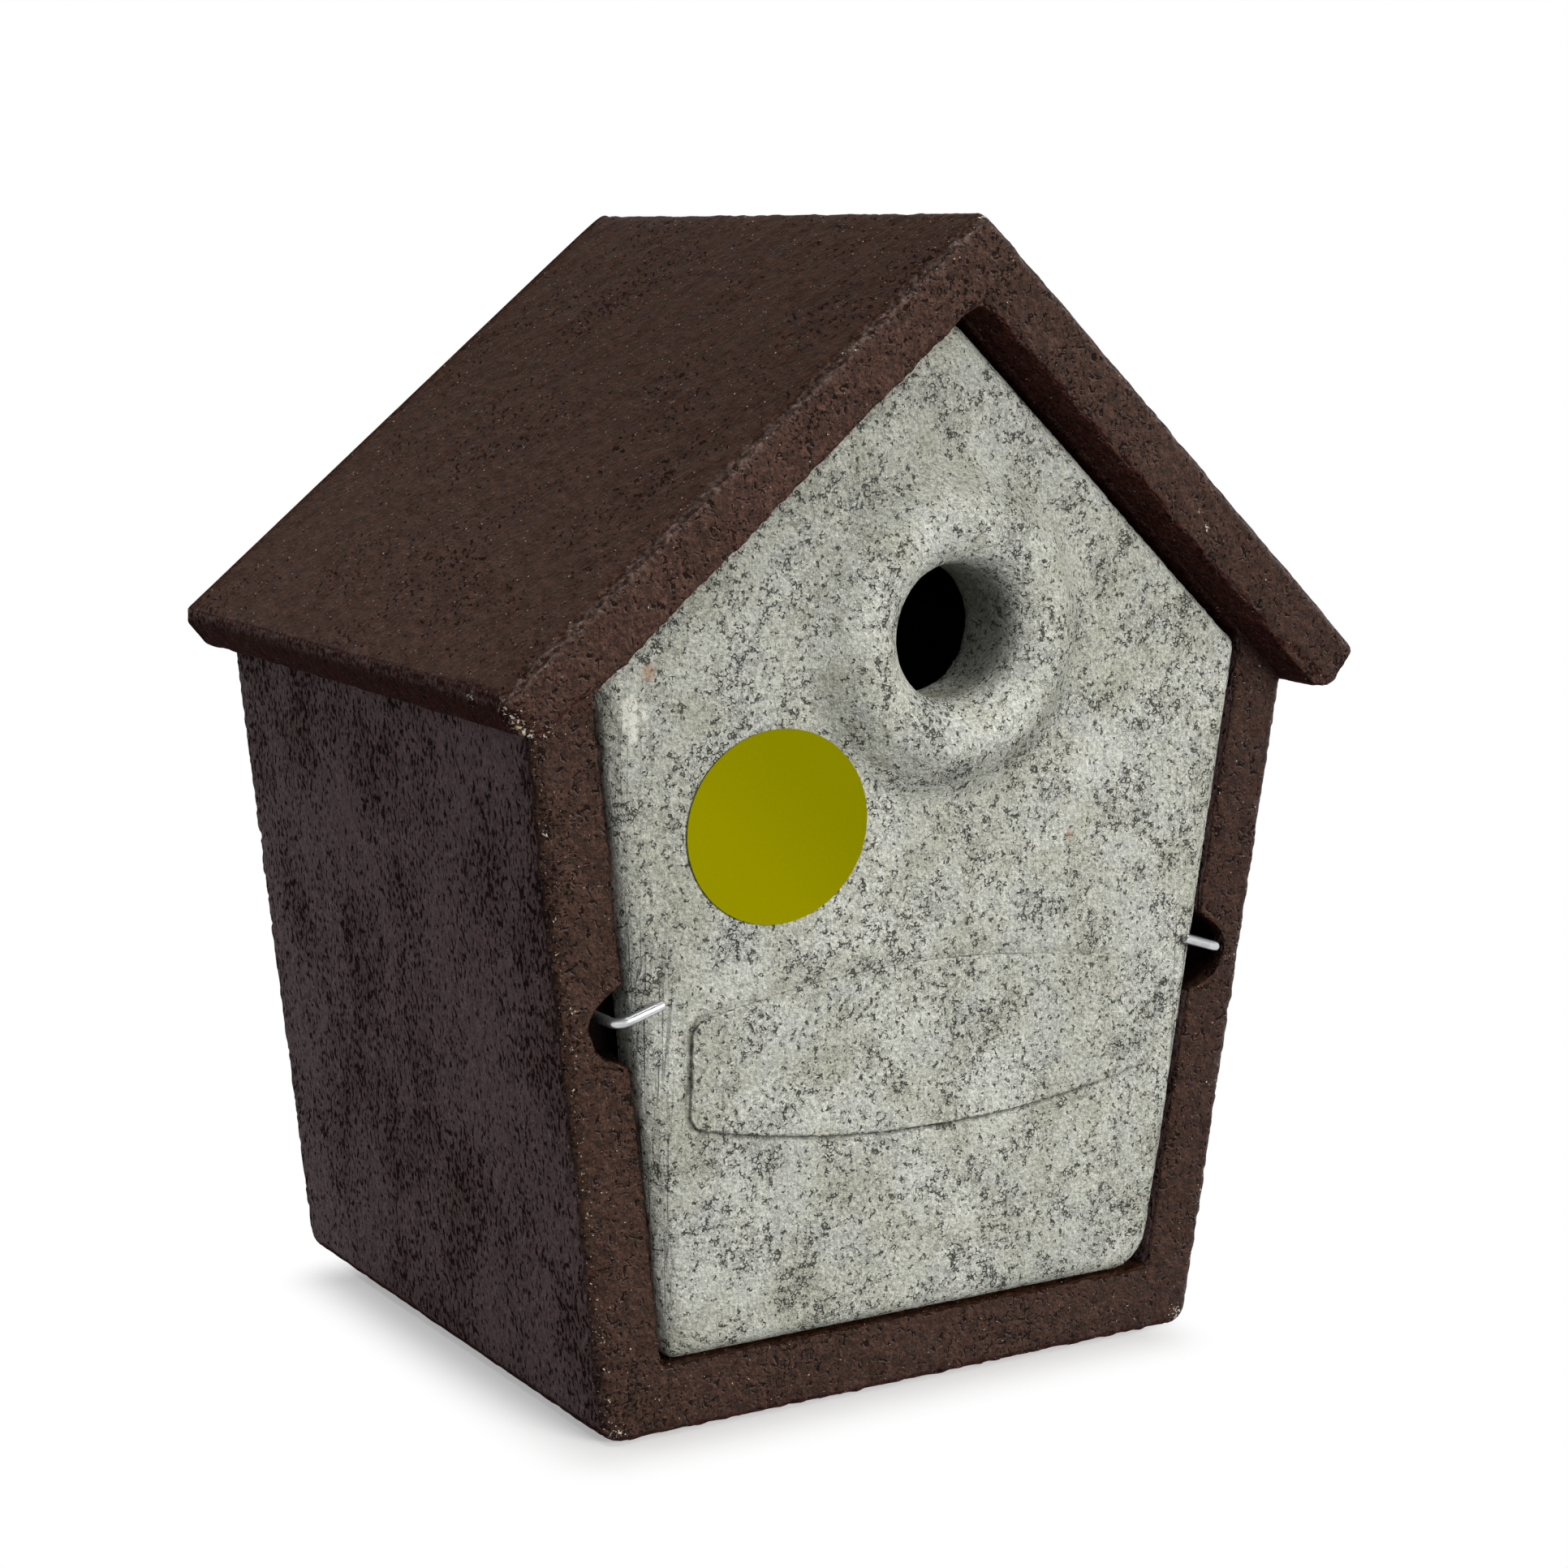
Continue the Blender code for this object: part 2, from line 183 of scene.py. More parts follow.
def normalsOf(points, quads):
    # Mean of the neighbouring faces' normals, each weighted by its area.
    across = points[quads[:, 2]] - points[quads[:, 0]]
    along = points[quads[:, 3]] - points[quads[:, 1]]
    faces = np.cross(across, along)
    total = np.empty_like(points)
    for axis in range(3):
        repeated = np.repeat(faces[:, axis], 4)
        total[:, axis] = np.bincount(quads.reshape(-1), repeated, len(points))
    return total / np.maximum(np.linalg.norm(total, axis=1, keepdims=True), 1e-20)


def facingOut(points, quads):
    # Turns every quad round if the enclosed volume comes out negative.
    first, second, third = (points[quads[:, i]] for i in (0, 1, 2))
    fourth = points[quads[:, 3]]
    volume = (np.cross(first, second) * third).sum() + (np.cross(first, third) * fourth).sum()
    return quads if volume > 0 else quads[:, ::-1]


def addObject(name, data):
    thing = bpy.data.objects.new(name, data)
    bpy.context.scene.collection.objects.link(thing)
    return thing


def addPiece(name, points, faces, material, body, slot, replaced, most=None, sharp=None):
    # One closed mesh, thinned to most triangles where that many say the same, shaded smooth up
    # to the angle sharp.
    mesh = bpy.data.meshes.new(name)
    mesh.from_pydata(points, [], faces)
    piece = addObject(name, mesh)
    triangles = 2 * len(faces)
    if most and triangles > most:
        thinning = piece.modifiers.new("thinning", "DECIMATE")
        thinning.ratio = most / triangles
        graph = bpy.context.evaluated_depsgraph_get()
        piece.data = bpy.data.meshes.new_from_object(piece.evaluated_get(graph))
        piece.modifiers.clear()
        bpy.data.meshes.remove(mesh)
        piece.data.name = name
    piece.data.vertices.foreach_set("co", insideBox(pointsOf(piece)).reshape(-1))
    piece.data.shade_smooth()
    if sharp:
        piece.data.set_sharp_from_angle(angle=sharp)
    piece.data.materials.append(material)
    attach(piece, body)
    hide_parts(replaced)
    print("made", name, len(piece.data.vertices), "points")
    return piece


def addTube(name, grid, *dressing):
    # Rings joined into a tube, closed by one face on its first ring and one on its last.
    rows, columns = grid.shape[:2]
    points = grid.reshape(-1, 3)
    faces = facingOut(points, gridQuads(rows, columns, wrapColumns=1)).tolist()
    first, last = list(range(columns)), list(range(len(points) - columns, len(points)))
    faces += [first, last[::-1]] if faces[0][0] != first[0] else [first[::-1], last]
    addPiece(name, points, faces, *dressing, sharp=radians(40))


def addPainted(name, points, quads, materials, most):
    # A casting of the shell, with the second material on the faces whose normals point forwards.
    piece = addPiece(name, points, quads, materials[0], "shell", "brown_woodcrete", "body_shell",
                     most)
    piece.data.materials.append(materials[1])
    normals = np.empty(len(piece.data.polygons) * 3)
    piece.data.polygons.foreach_get("normal", normals)
    forward = normals.reshape(-1, 3)[:, 1] < -0.6
    piece.data.polygons.foreach_set("material_index", forward.astype(np.int32))
    addChips(piece)
    return piece


def closeGrid(grid):
    # Points, outward quads and normals of rings joined round both ways.
    points = grid.reshape(-1, 3)
    quads = facingOut(points, gridQuads(*grid.shape[:2], 1, 1))
    return points, quads, normalsOf(points, quads)


def pointsOf(piece):
    points = np.empty(len(piece.data.vertices) * 3)
    piece.data.vertices.foreach_get("co", points)
    return points.reshape(-1, 3)


def addMask(piece, name, values):
    mask = piece.data.attributes.new(name, "FLOAT", "POINT")
    mask.data.foreach_set("value", values.astype(np.float32))


def mix(first, second, share):
    # The given share of the way from the first to the second.
    return first * (1 - share) + second * share


def wallX(height, depth=0.0):
    # Half the width at that height, measured depth inside the walls' outer faces.
    return house["baseWidth"] / 2 - depth + height * tan(house["wallLean"])


# House outlines, as arrays of (x, z) seen from the front, anticlockwise from the left foot
def houseCorners(sideDepth, slopeDepth, floorHeight):
    # Sides lie sideDepth inside the walls' outer faces and slopes slopeDepth under the roof's top.
    lean, half = tan(house["wallLean"]), house["baseWidth"] / 2 - sideDepth
    peak = house["ridgeHeight"] - slopeDepth / cos(pitch)
    shoulder = (half + peak * lean) / (1 + tan(pitch) * lean)
    shoulderHeight = peak - shoulder * tan(pitch)
    foot = wallX(floorHeight, sideDepth)
    return np.array([
        (-foot, floorHeight), (foot, floorHeight), (shoulder, shoulderHeight),
        (0, peak), (-shoulder, shoulderHeight),
    ])


def unit(vector):
    return vector / np.linalg.norm(vector)


def houseOutline(corners, rounds, sideCounts, inset):
    # Every side moves in by inset and every corner turns into an arc, whose radius shrinks by it.
    cornerCount, leastRound = 6, 0.0003
    count = len(corners)
    ahead = [unit(corners[(i + 1) % count] - corners[i]) for i in range(count)]
    inwards = [np.array((-along[1], along[0])) for along in ahead]
    arcs = []
    for i in range(count):
        first, second = inwards[i - 1], inwards[i]
        corner = corners[i] + (first + second) * inset / (1 + first @ second)
        radius = max(rounds[i] - inset, leastRound)
        bisector = unit(first + second)
        centre = corner + bisector * radius / (bisector @ first)
        start = atan2(-first[1], -first[0])
        sweep = (atan2(-second[1], -second[0]) - start) % (2 * pi)
        angles = start + sweep * np.linspace(0, 1, cornerCount)
        arcs.append(centre + radius * np.stack([np.cos(angles), np.sin(angles)], axis=1))
    pieces = []
    for i in range(count):
        share = np.linspace(0, 1, sideCounts[i] + 1)[1:-1, None]
        following = arcs[(i + 1) % count][0]
        pieces += [arcs[i], mix(arcs[i][-1], following, share)]
    return np.concatenate(pieces)


def circleLike(outline, centre, radius):
    # A circle whose points lie in the same directions from its centre as the outline's.
    away = outline - centre
    return centre + away / np.linalg.norm(away, axis=1, keepdims=True) * radius


def ringAt(flat, y):
    return np.stack([flat[:, 0], np.full(len(flat), y), flat[:, 1]], axis=1)


# Node trees, in short words
class Field:
    # One output of a node, which adds, subtracts, multiplies and divides as a number does.
    def __init__(self, socket):
        self.socket = socket

    def other(self, output):
        return Field(self.socket.node.outputs[output])

    def __add__(self, second):
        return calc("ADD", self, second)

    def __sub__(self, second):
        return calc("SUBTRACT", self, second)

    def __mul__(self, second):
        return calc("MULTIPLY", self, second)

    def __truediv__(self, second):
        return calc("DIVIDE", self, second)

    def __abs__(self):
        return calc("ABSOLUTE", self)


def fill(node, inputs):
    # Fields are linked to a node's inputs, and plain values written into them.
    for name, value in inputs.items():
        if isinstance(value, Field):
            node.id_data.links.new(value.socket, node.inputs[name])
        else:
            node.inputs[name].default_value = value


def make(kind, inputs=None, output=0, tree=None, **settings):
    # A new node's output. Its tree is that of the first field put in, unless it is given.
    inputs = inputs or {}
    if tree is None:
        tree = next(v.socket.id_data for v in inputs.values() if isinstance(v, Field))
    node = tree.nodes.new("ShaderNode" + kind)
    for name, value in settings.items():
        setattr(node, name, value)
    fill(node, inputs)
    return Field(node.outputs[output])


def calc(operation, first, second=0.0):
    return make("Math", {0: first, 1: second}, operation=operation)


def larger(first, second=0.0):
    return calc("MAXIMUM", first, second)


def vectorCalc(operation, first, second=(0, 0, 0)):
    output = "Value" if operation == "LENGTH" else "Vector"
    return make("VectorMath", {0: first, 1: second}, output, operation=operation)


def splitUp(vector):
    x = make("SeparateXYZ", {0: vector})
    return x, x.other(1), x.other(2)


def coordinates(tree, stretch=(1, 1, 1), turn=(0, 0, 0)):
    place = make("TexCoord", output="Object", tree=tree)
    turned = make("Mapping", {"Vector": place, "Rotation": turn})
    return make("Mapping", {"Vector": turned, "Scale": stretch})


def attribute(tree, name):
    return make("Attribute", output="Fac", tree=tree, attribute_name=name)


def grain(place, size, detail=2.0, roughness=0.55, distortion=0.0):
    inputs = {"Vector": place, "Scale": 1 / size, "Detail": detail, "Roughness": roughness}
    return make("TexNoise", inputs | {"Distortion": distortion})


def between(value, low, high, bottom=0.0, top=1.0):
    ends = {"From Min": low, "From Max": high, "To Min": bottom, "To Max": top}
    return make("MapRange", {"Value": value} | ends, interpolation_type="SMOOTHSTEP")


def blend(share, below, above, mode="MIX"):
    inputs = {0: share, 6: below, 7: above}
    return make("Mix", inputs, 2, data_type="RGBA", blend_type=mode)


def tinted(base, *tints):
    for tint in tints:
        base = blend(1.0, base, tint, "MULTIPLY")
    return base


def newMaterial(name, roughness, specular, metallic=0.0):
    material = bpy.data.materials.new(name)
    material.use_nodes = True
    shader = material.node_tree.nodes["Principled BSDF"]
    fill(shader, {"Roughness": roughness, "Specular IOR Level": specular, "Metallic": metallic})
    return material, material.node_tree, shader


def bumps(height, depth):
    return make("Bump", {"Height": height, "Distance": depth, "Strength": 1.0})


def flecks(place, size, radius, share):
    # Round specks: cells of that size, of which the given share holds one of that radius.
    distance = make("TexVoronoi", {"Vector": place, "Scale": 1 / size}, "Distance")
    chance = make("SeparateColor", {0: distance.other("Color")})
    near = between(distance, radius / size, 0.6 * radius / size)
    return calc("LESS_THAN", chance, share) * near


def ridges(place, size, width):
    # Thin curved lines, where a noise passes through its middle value.
    return between(abs(grain(place, size, 1.5) - 0.5), width, 0.3 * width)


def raked(place, size, reach, low, high):
    # Relief as raking light shows it: a noise less the same noise a short reach away.
    aside = vectorCalc("ADD", place, (reach, reach, reach))
    return between(grain(place, size, 3.0) - grain(aside, size, 3.0), -0.16, 0.16, low, high)


def crackle(place, size, width, gate):
    # Short broken cracks: the edges between warped chance cells, where the gate is open.
    warp = make("TexNoise", {"Vector": place, "Scale": 1.6 / size, "Detail": 2.0}, "Color")
    shift = make("VectorMath", {0: warp, "Scale": 0.9 * size}, operation="SCALE")
    inputs = {"Vector": vectorCalc("ADD", place, shift), "Scale": 1 / size}
    edge = make("TexVoronoi", inputs, "Distance", feature="DISTANCE_TO_EDGE")
    return between(edge, width, 0.25 * width) * gate


# Brown paint over coarse woodcrete
paint = dict(
    brown=(0.051, 0.0265, 0.0180, 1),
    dark=(0.036, 0.0170, 0.0110, 1),
    wallSheen=(0.206, 0.137, 0.142, 1),
    wallDark=(0.150, 0.092, 0.093, 1),
    pit=(0.007, 0.0030, 0.0022, 1),
    wornAndLit=(0.200, 0.150, 0.134, 1),
    fleck=(0.30, 0.26, 0.23, 1),
    lump=(0.095, 0.062, 0.050, 1),
    paleChip=(0.60, 0.56, 0.50, 1),
    goldenChip=(0.50, 0.36, 0.17, 1),
    glint=(0.140, 0.104, 0.092, 1),
    slopeTint=(0.70, 0.56, 0.40, 1),
    sheenTint=(1.03, 0.98, 0.95, 1),
    forwardTint=(1.05, 1.04, 1.03, 1),
    bandTint=(1.22, 1.17, 1.17, 1),
    rightTint=(0.87, 0.79, 0.75, 1),
    eaveTint=(1.05, 0.74, 0.86, 1),
    farTint=(1.16, 1.24, 1.24, 1),
    roughness=0.40,
    dullRoughness=0.58,
    dullSpecular=0.035,
    satinSpecular=0.10,
    pitSize=0.0010,
    widePitSize=0.0018,
    litSide=(0.00018, 0.0, 0.00032),
    wallStretch=0.50,
    dragStretch=0.30,
    dragTurn=radians(30),
)


def brownPaint(name, specular):
    # Pits and grain follow the face that they lie on: dragged upright on the side walls, dragged
    # aslant on the roof's slopes, and round on the bands that face forwards.
    p = paint
    material, tree, shader = newMaterial(name, p["roughness"], specular)
    place = coordinates(tree)
    x, y, _ = splitUp(place)
    facingX, facingY, facingZ = splitUp(make("TexCoord", output="Normal", tree=tree))
    onWall, wornAndLit, chipped, notchShade = (attribute(tree, n) for n in ("wall", "wornAndLit", "chip", "notchShade"))
    sideways = between(abs(facingX), 0.90, 0.97) * onWall
    upwards = between(facingZ, 0.50, 0.68)
    calm = larger(sideways, upwards)
    forwards = between(calm, 0, 1, 1, 0)
    roofOnly = between(larger(onWall, upwards), 0, 1, 1, 0)
    dragged = coordinates(tree, (1, p["dragStretch"], 1), (0, 0, p["dragTurn"]))
    upright = coordinates(tree, (1, 1, p["wallStretch"]))
    grainPlace = blend(upwards, blend(sideways, place, upright), dragged)

    patches = grain(coordinates(tree, (1, 1, 0.6)), 0.022, 4.0, 0.6)
    streaks = grain(grainPlace, 0.0034, 4.0, 0.65)
    mottle = grain(place, 0.0014, 3.0, 0.6)
    fine = grain(place, 0.0005, 2.0, 0.6)
    base = blend(between(streaks, 0.36, 0.64), p["dark"], p["brown"])
    # Side walls: partly their own purple-brown, partly a lighter bluish painted sheen that stands
    # in for grazing reflection and for the light they lack
    sheenedWall = blend(between(patches, 0.38, 0.56), p["wallDark"], p["wallSheen"])
    base = blend(sideways * 0.85, base, sheenedWall)

    # Painted light and shade, as tints by place and facing
    # Slopes tinted darker near the ridge and lighter towards the eaves: painted shade and painted
    # sheen
    slope = blend(between(abs(x), 0.030, 0.125), p["slopeTint"], p["sheenTint"])
    # Side walls lighter and bluer towards the back: painted sheen
    side = blend(between(y, 0.020, 0.095), (1, 1, 1, 1), p["farTint"])
    # Bands at the right darker: painted shade
    tint = blend(between(x, 0.055, 0.095), p["forwardTint"], p["rightTint"])
    # The roof's left band lighter: painted light
    tint = blend(roofOnly * between(x, 0.010, -0.025), tint, p["bandTint"])
    # Faces turned down and the eave ends tinted darker: painted shade under the eaves
    eave = between(abs(facingX), 0.62, 0.72) * roofOnly
    lowFace = larger(between(facingZ, -0.30, -0.50), eave)
    tint = blend(lowFace, tint, p["eaveTint"])
    tint = blend(upwards, blend(sideways, tint, side), slope)
    base = tinted(base, between(mottle, 0.30, 0.70, 0.82, 1.20), tint)

    # Painted light and shade of relief, stronger on the faces that look forwards, and lumps
    relief = raked(grainPlace, 0.0021, 0.00030, 0, 1)
    fineRelief = raked(place, 0.0008, 0.00018, 0, 1)
    for waves, hollow, raised in ((relief, (0.64, 0.80), (1.44, 1.24)),
                                  (fineRelief, (0.70, 0.82), (1.36, 1.18))):
        ends = between(calm, 0, 1, *hollow), between(calm, 0, 1, *raised)
        base = tinted(base, between(waves, 0, 1, *ends))
    base = blend(flecks(place, 0.0065, 0.0007, 0.30) * 0.35, base, p["lump"])

    # Pits, in clusters, with a lit rim where they are wide
    clusters = (patches - 0.5) * between(sideways, 0, 1, -0.48, -0.36)
    holes = grain(grainPlace, p["pitSize"], 1.5) + clusters + sideways * 0.106
    aside = vectorCalc("ADD", place, p["litSide"])
    wide = between(grain(place, p["widePitSize"], 2.5, distortion=0.8), 0.610, 0.655)
    rim = between(grain(aside, p["widePitSize"], 2.5, distortion=0.8), 0.600, 0.650)
    base = blend(larger((rim - wide) * (forwards * 0.55)), base, p["glint"])
    pits = larger(between(holes, 0.645, 0.725), wide * forwards)
    base = blend(pits * between(sideways, 0, 1, 0.80, 0.90), base, p["pit"])
    base = blend(flecks(place, 0.0040, 0.00020, 0.05), base, p["fleck"])

    # Scuffed edges with a painted highlight, chips, and painted shade inside the notches
    base = blend(wornAndLit * between(mottle, 0.42, 0.60) * 0.75, base, p["wornAndLit"])
    chips = between(chipped * 0.20 + grain(place, 0.0008, 1.5), 0.71, 0.76)
    chipColour = blend(between(mottle, 0.40, 0.50), p["goldenChip"], p["paleChip"])
    base = blend(notchShade, blend(chips, base, chipColour), p["pit"])

    height = streaks * 0.7 + mottle * 0.7 + fine * 0.22 - pits * 0.6 + chips * 0.5
    sheen = between(calm, 0, 1, p["roughness"], p["dullRoughness"])
    dulled = larger(larger(pits, notchShade), lowFace)
    dulled = larger(dulled, between(facingY, 0.5, 0.8, 0.0, 0.8))
    fill(shader, {"Base Color": base, "Normal": bumps(height, 0.0011),
                  "Roughness": between(dulled, 0, 1, sheen, 0.95)})
    return material


# Reliefs, as their depth and the settings of their noise
coarse = dict(
    lumpDepth=0.00065, lumps=(0.0042, 11, 3),
    pitDepth=0.00035, pits=(0.0030, 23, 0.42),
    chipDepth=0.0006, chips=(0.0024, 37, 0.50),
    crumbDepth=0.0011, crumbs=(0.0024, 41, 2),
    dragDepth=0.00030, drags=(0.0022, 71, 0.45), dragSqueeze=(1, 1, 0.35),
)


def coarseRelief(points, edge):
    # How far woodcrete lies below its mould: leathery lumps, pits, and crumbs lost along edges.
    c = coarse
    lumps = c["lumpDepth"] * layeredNoise(points, *c["lumps"])
    small = c["pitDepth"] * pitField(points, *c["pits"])
    chips = c["chipDepth"] * pitField(points, *c["chips"])
    crumbs = chips + c["crumbDepth"] * layeredNoise(points, *c["crumbs"])
    return lumps + small + edge * crumbs


def insideBox(points):
    return np.clip(points, np.array(cadLow) + 1e-5, np.array(cadHigh) - 1e-5)


# Rubbed edges, with a painted highlight along them
wearAndHighlight = dict(depth=0.0008, width=0.0032, front=0.8, rim=0.0014, rimShare=0.31)

# Chips where the paint is gone, as (place, radius)
chipSpots = dict(
    eaveTip=((-0.1230, -0.088, 0.1780), 0.0028),
    eaveFront=((-0.1205, -0.088, 0.1745), 0.0034),
    eaveLow=((-0.1175, -0.087, 0.1715), 0.0042),
    eaveInner=((-0.1125, -0.087, 0.1718), 0.0036),
    eaveRim=((-0.1255, -0.074, 0.1800), 0.0022),
    rightEnd=((0.1130, -0.088, 0.1700), 0.0030),
    lowerRight=((0.0850, -0.0775, 0.0030), 0.0030),
    lowerLeft=((-0.0860, -0.0770, 0.0030), 0.0026),
    bandUpper=((0.0690, -0.090, 0.2180), 0.0011),
    bandLower=((0.0710, -0.090, 0.2140), 0.0010),
    notchUpper=((-0.0990, -0.0770, 0.1070), 0.0020),
    seatUpper=((-0.0930, -0.0770, 0.1700), 0.0022),
    ridgeFront=((0.0, -0.0885, 0.2885), 0.0018),
)


def addWearAndHighlight(piece):
    # Paint scuffed thin along the roof's front and eave edges, and painted lighter there as a
    # highlight: each is a line near the top surface, found from the place along the slope, s = |x|
    # cos a + (top - z) sin a, and the depth under it.
    x, y, z = pointsOf(piece).T
    drop, reach = house["ridgeHeight"] - z, np.abs(x)
    along = reach * cos(pitch) + drop * sin(pitch)
    depth = drop * cos(pitch) - reach * sin(pitch)
    depths = depth, y - roofFront, house["roofWidth"] / 2 / cos(pitch) - along
    near, front, end = (1 - easeStep(np.abs(off - wearAndHighlight["depth"]), 0.0, wearAndHighlight["width"])
                        for off in depths)
    addMask(piece, "wornAndLit", near * np.maximum(wearAndHighlight["front"] * front, end))


def addChips(piece):
    # Chance chips thicken near each chosen spot, and a little along the walls' front rim.
    points = pointsOf(piece)
    mask = np.zeros(len(points))
    for place, radius in chipSpots.values():
        distance = np.linalg.norm(points - np.array(place), axis=1)
        mask = np.maximum(mask, 1 - easeStep(distance, 0.3 * radius, 1.5 * radius))
    x, y, z = points.T
    corner = np.hypot(y - wallFront - wearAndHighlight["rim"], wallX(z) - np.abs(x) - wearAndHighlight["rim"])
    mask = np.maximum(mask, wearAndHighlight["rimShare"] * (1 - easeStep(corner, 0.001, 0.003)))
    addMask(piece, "chip", mask)


# Roof
roof = dict(
    tipRound=0.0030,
    endRound=0.0090,
    frontRound=0.0042,
    topRound=0.0036,
    underRound=0.0018,
    underEndRound=0.0083,
    endReach=0.030,
    ridgeSoftness=0.00186,
    spacing=0.00078,
    frontSpacing=0.00055,
    backSpacing=0.0014,
    frontReach=0.020,
    edgeSpacing=0.0006,
    behind=0.006,
    edgeReach=0.0045,
    edgeLoss=0.45,
    endLoss=0.75,
    endWear=0.020,
    underReach=0.001,
    backReach=0.002,
    hiddenBehind=0.003,
    hiddenHalf=0.104,
    most=196000,
)


def slabPlace(points):
    # Bends a straight slab over the ridge. Along its length it falls by the pitch, past the ridge
    # by sqrt(x^2 + k^2), and its ends stay square to the slope.
    half, top = house["roofWidth"] / 2, house["ridgeHeight"]
    length, y, level = points.T
    share = length / (half / cos(pitch))
    depth = house["roofThickness"] / 2 - level
    x = share * (half - depth * sin(pitch))
    fall = tan(pitch) * np.sqrt(x**2 + roof["ridgeSoftness"] ** 2)
    return np.stack([x, y, top - fall - depth / cos(pitch)], axis=1)


def roofRadii(flat, half):
    # Small radii along the top and the overhang's lower edge, and wide ones under the eaves.
    r = roof
    above = easeStep(flat[:, 2], -half[2] / 2, half[2] / 2)
    nearEnd = easeStep(np.abs(flat[:, 0]), half[0] - r["endReach"], half[0] - r["endReach"] / 3)
    across = r["endRound"] + (r["tipRound"] - r["endRound"]) * above
    depth = r["underRound"] + (r["frontRound"] - r["underRound"]) * above
    under = r["underRound"] + (r["underEndRound"] - r["underRound"]) * nearEnd
    height = under + (r["topRound"] - under) * above
    return np.stack([across, depth, height], axis=1)


def makeRoof(materials):
    # A rounded box that is longer than the roof at the back and cut flat there, bent over the
    # ridge. Every point then sinks along its normal by the relief, most of all on the edges.
    r = roof
    halfLength = house["roofWidth"] / 2 / cos(pitch)
    behind = r["behind"]
    half = np.array((halfLength, (back - roofFront + behind) / 2, house["roofThickness"] / 2))
    lengthLine = np.linspace(-halfLength, halfLength, 2 * round(halfLength / r["spacing"]) + 1)
    depthLine = spreadLine(-half[1], half[1], r["frontSpacing"], r["backSpacing"], r["frontReach"])
    heightLine = np.linspace(-half[2], half[2], 2 * round(half[2] / r["edgeSpacing"]) + 1)
    flat, quads = boxSurface(lengthLine, depthLine, heightLine)
    depths = half - np.abs(flat)
    depths[:, 1] = np.where(flat[:, 1] > 0, half[1] - flat[:, 1] - behind, depths[:, 1])
    second = np.sort(np.abs(depths), axis=1)[:, 1]
    edge = 1 - easeStep(second, 0.0, r["edgeReach"])
    nearEnd = easeStep(np.abs(flat[:, 0]), halfLength - r["endWear"], halfLength)
    low = easeStep(-flat[:, 2], 0.0, half[2])
    forward = easeStep(-flat[:, 1], 0.0, half[1])
    edge = edge * (r["edgeLoss"] + r["endLoss"] * np.maximum(nearEnd, low) * forward)
    below = flat[:, 2] < -half[2] + r["underReach"]
    flat = roundOff(flat, half, roofRadii(flat, half))
    flat[:, 1] = np.minimum(flat[:, 1] + behind / 2, back)
    points = slabPlace(flat)
    normals = normalsOf(points, quads)
    onBack = easeStep(back - points[:, 1], 0.0, r["backReach"])
    relief = coarseRelief(points, edge) * (0.2 + 0.8 * onBack)
    hidden = below & (points[:, 1] > wallFront + r["hiddenBehind"])
    relief = np.where(hidden & (np.abs(points[:, 0]) < r["hiddenHalf"]), 0.0, relief)
    points = insideBox(points - normals * relief[:, None])
    addWearAndHighlight(addPainted("roofSlab", points, quads, materials, r["most"]))


# Walls, floor and back
walls = dict(
    baseRound=0.006,
    edgeRound=0.0035,
    innerRound=0.0009,
    slopeStep=0.0006,
    ledge=0.005,
    ledgeDepth=0.0098,
    backThickness=0.017,
    chamberRound=0.012,
    chamberBackRound=0.008,
    draft=0.002,
    nailRadius=0.0045,
    nailHeight=0.225,
    notchAcross=0.0100,
    notchUp=0.0098,
    notchHeight=0.1022,
    notchDepth=0.013,
    darkReach=(0.0015, 0.005, 0.025),
    seatCorner=0.0012,
    seatEdge=0.6,
    innerEdge=1.4,
    outerEdge=0.9,
    backEdge=0.8,
    sideCounts=(170, 180, 50, 50, 180),
    most=196000,
)


def arcSteps(steps):
    return np.linspace(0, pi / 2, steps + 1)


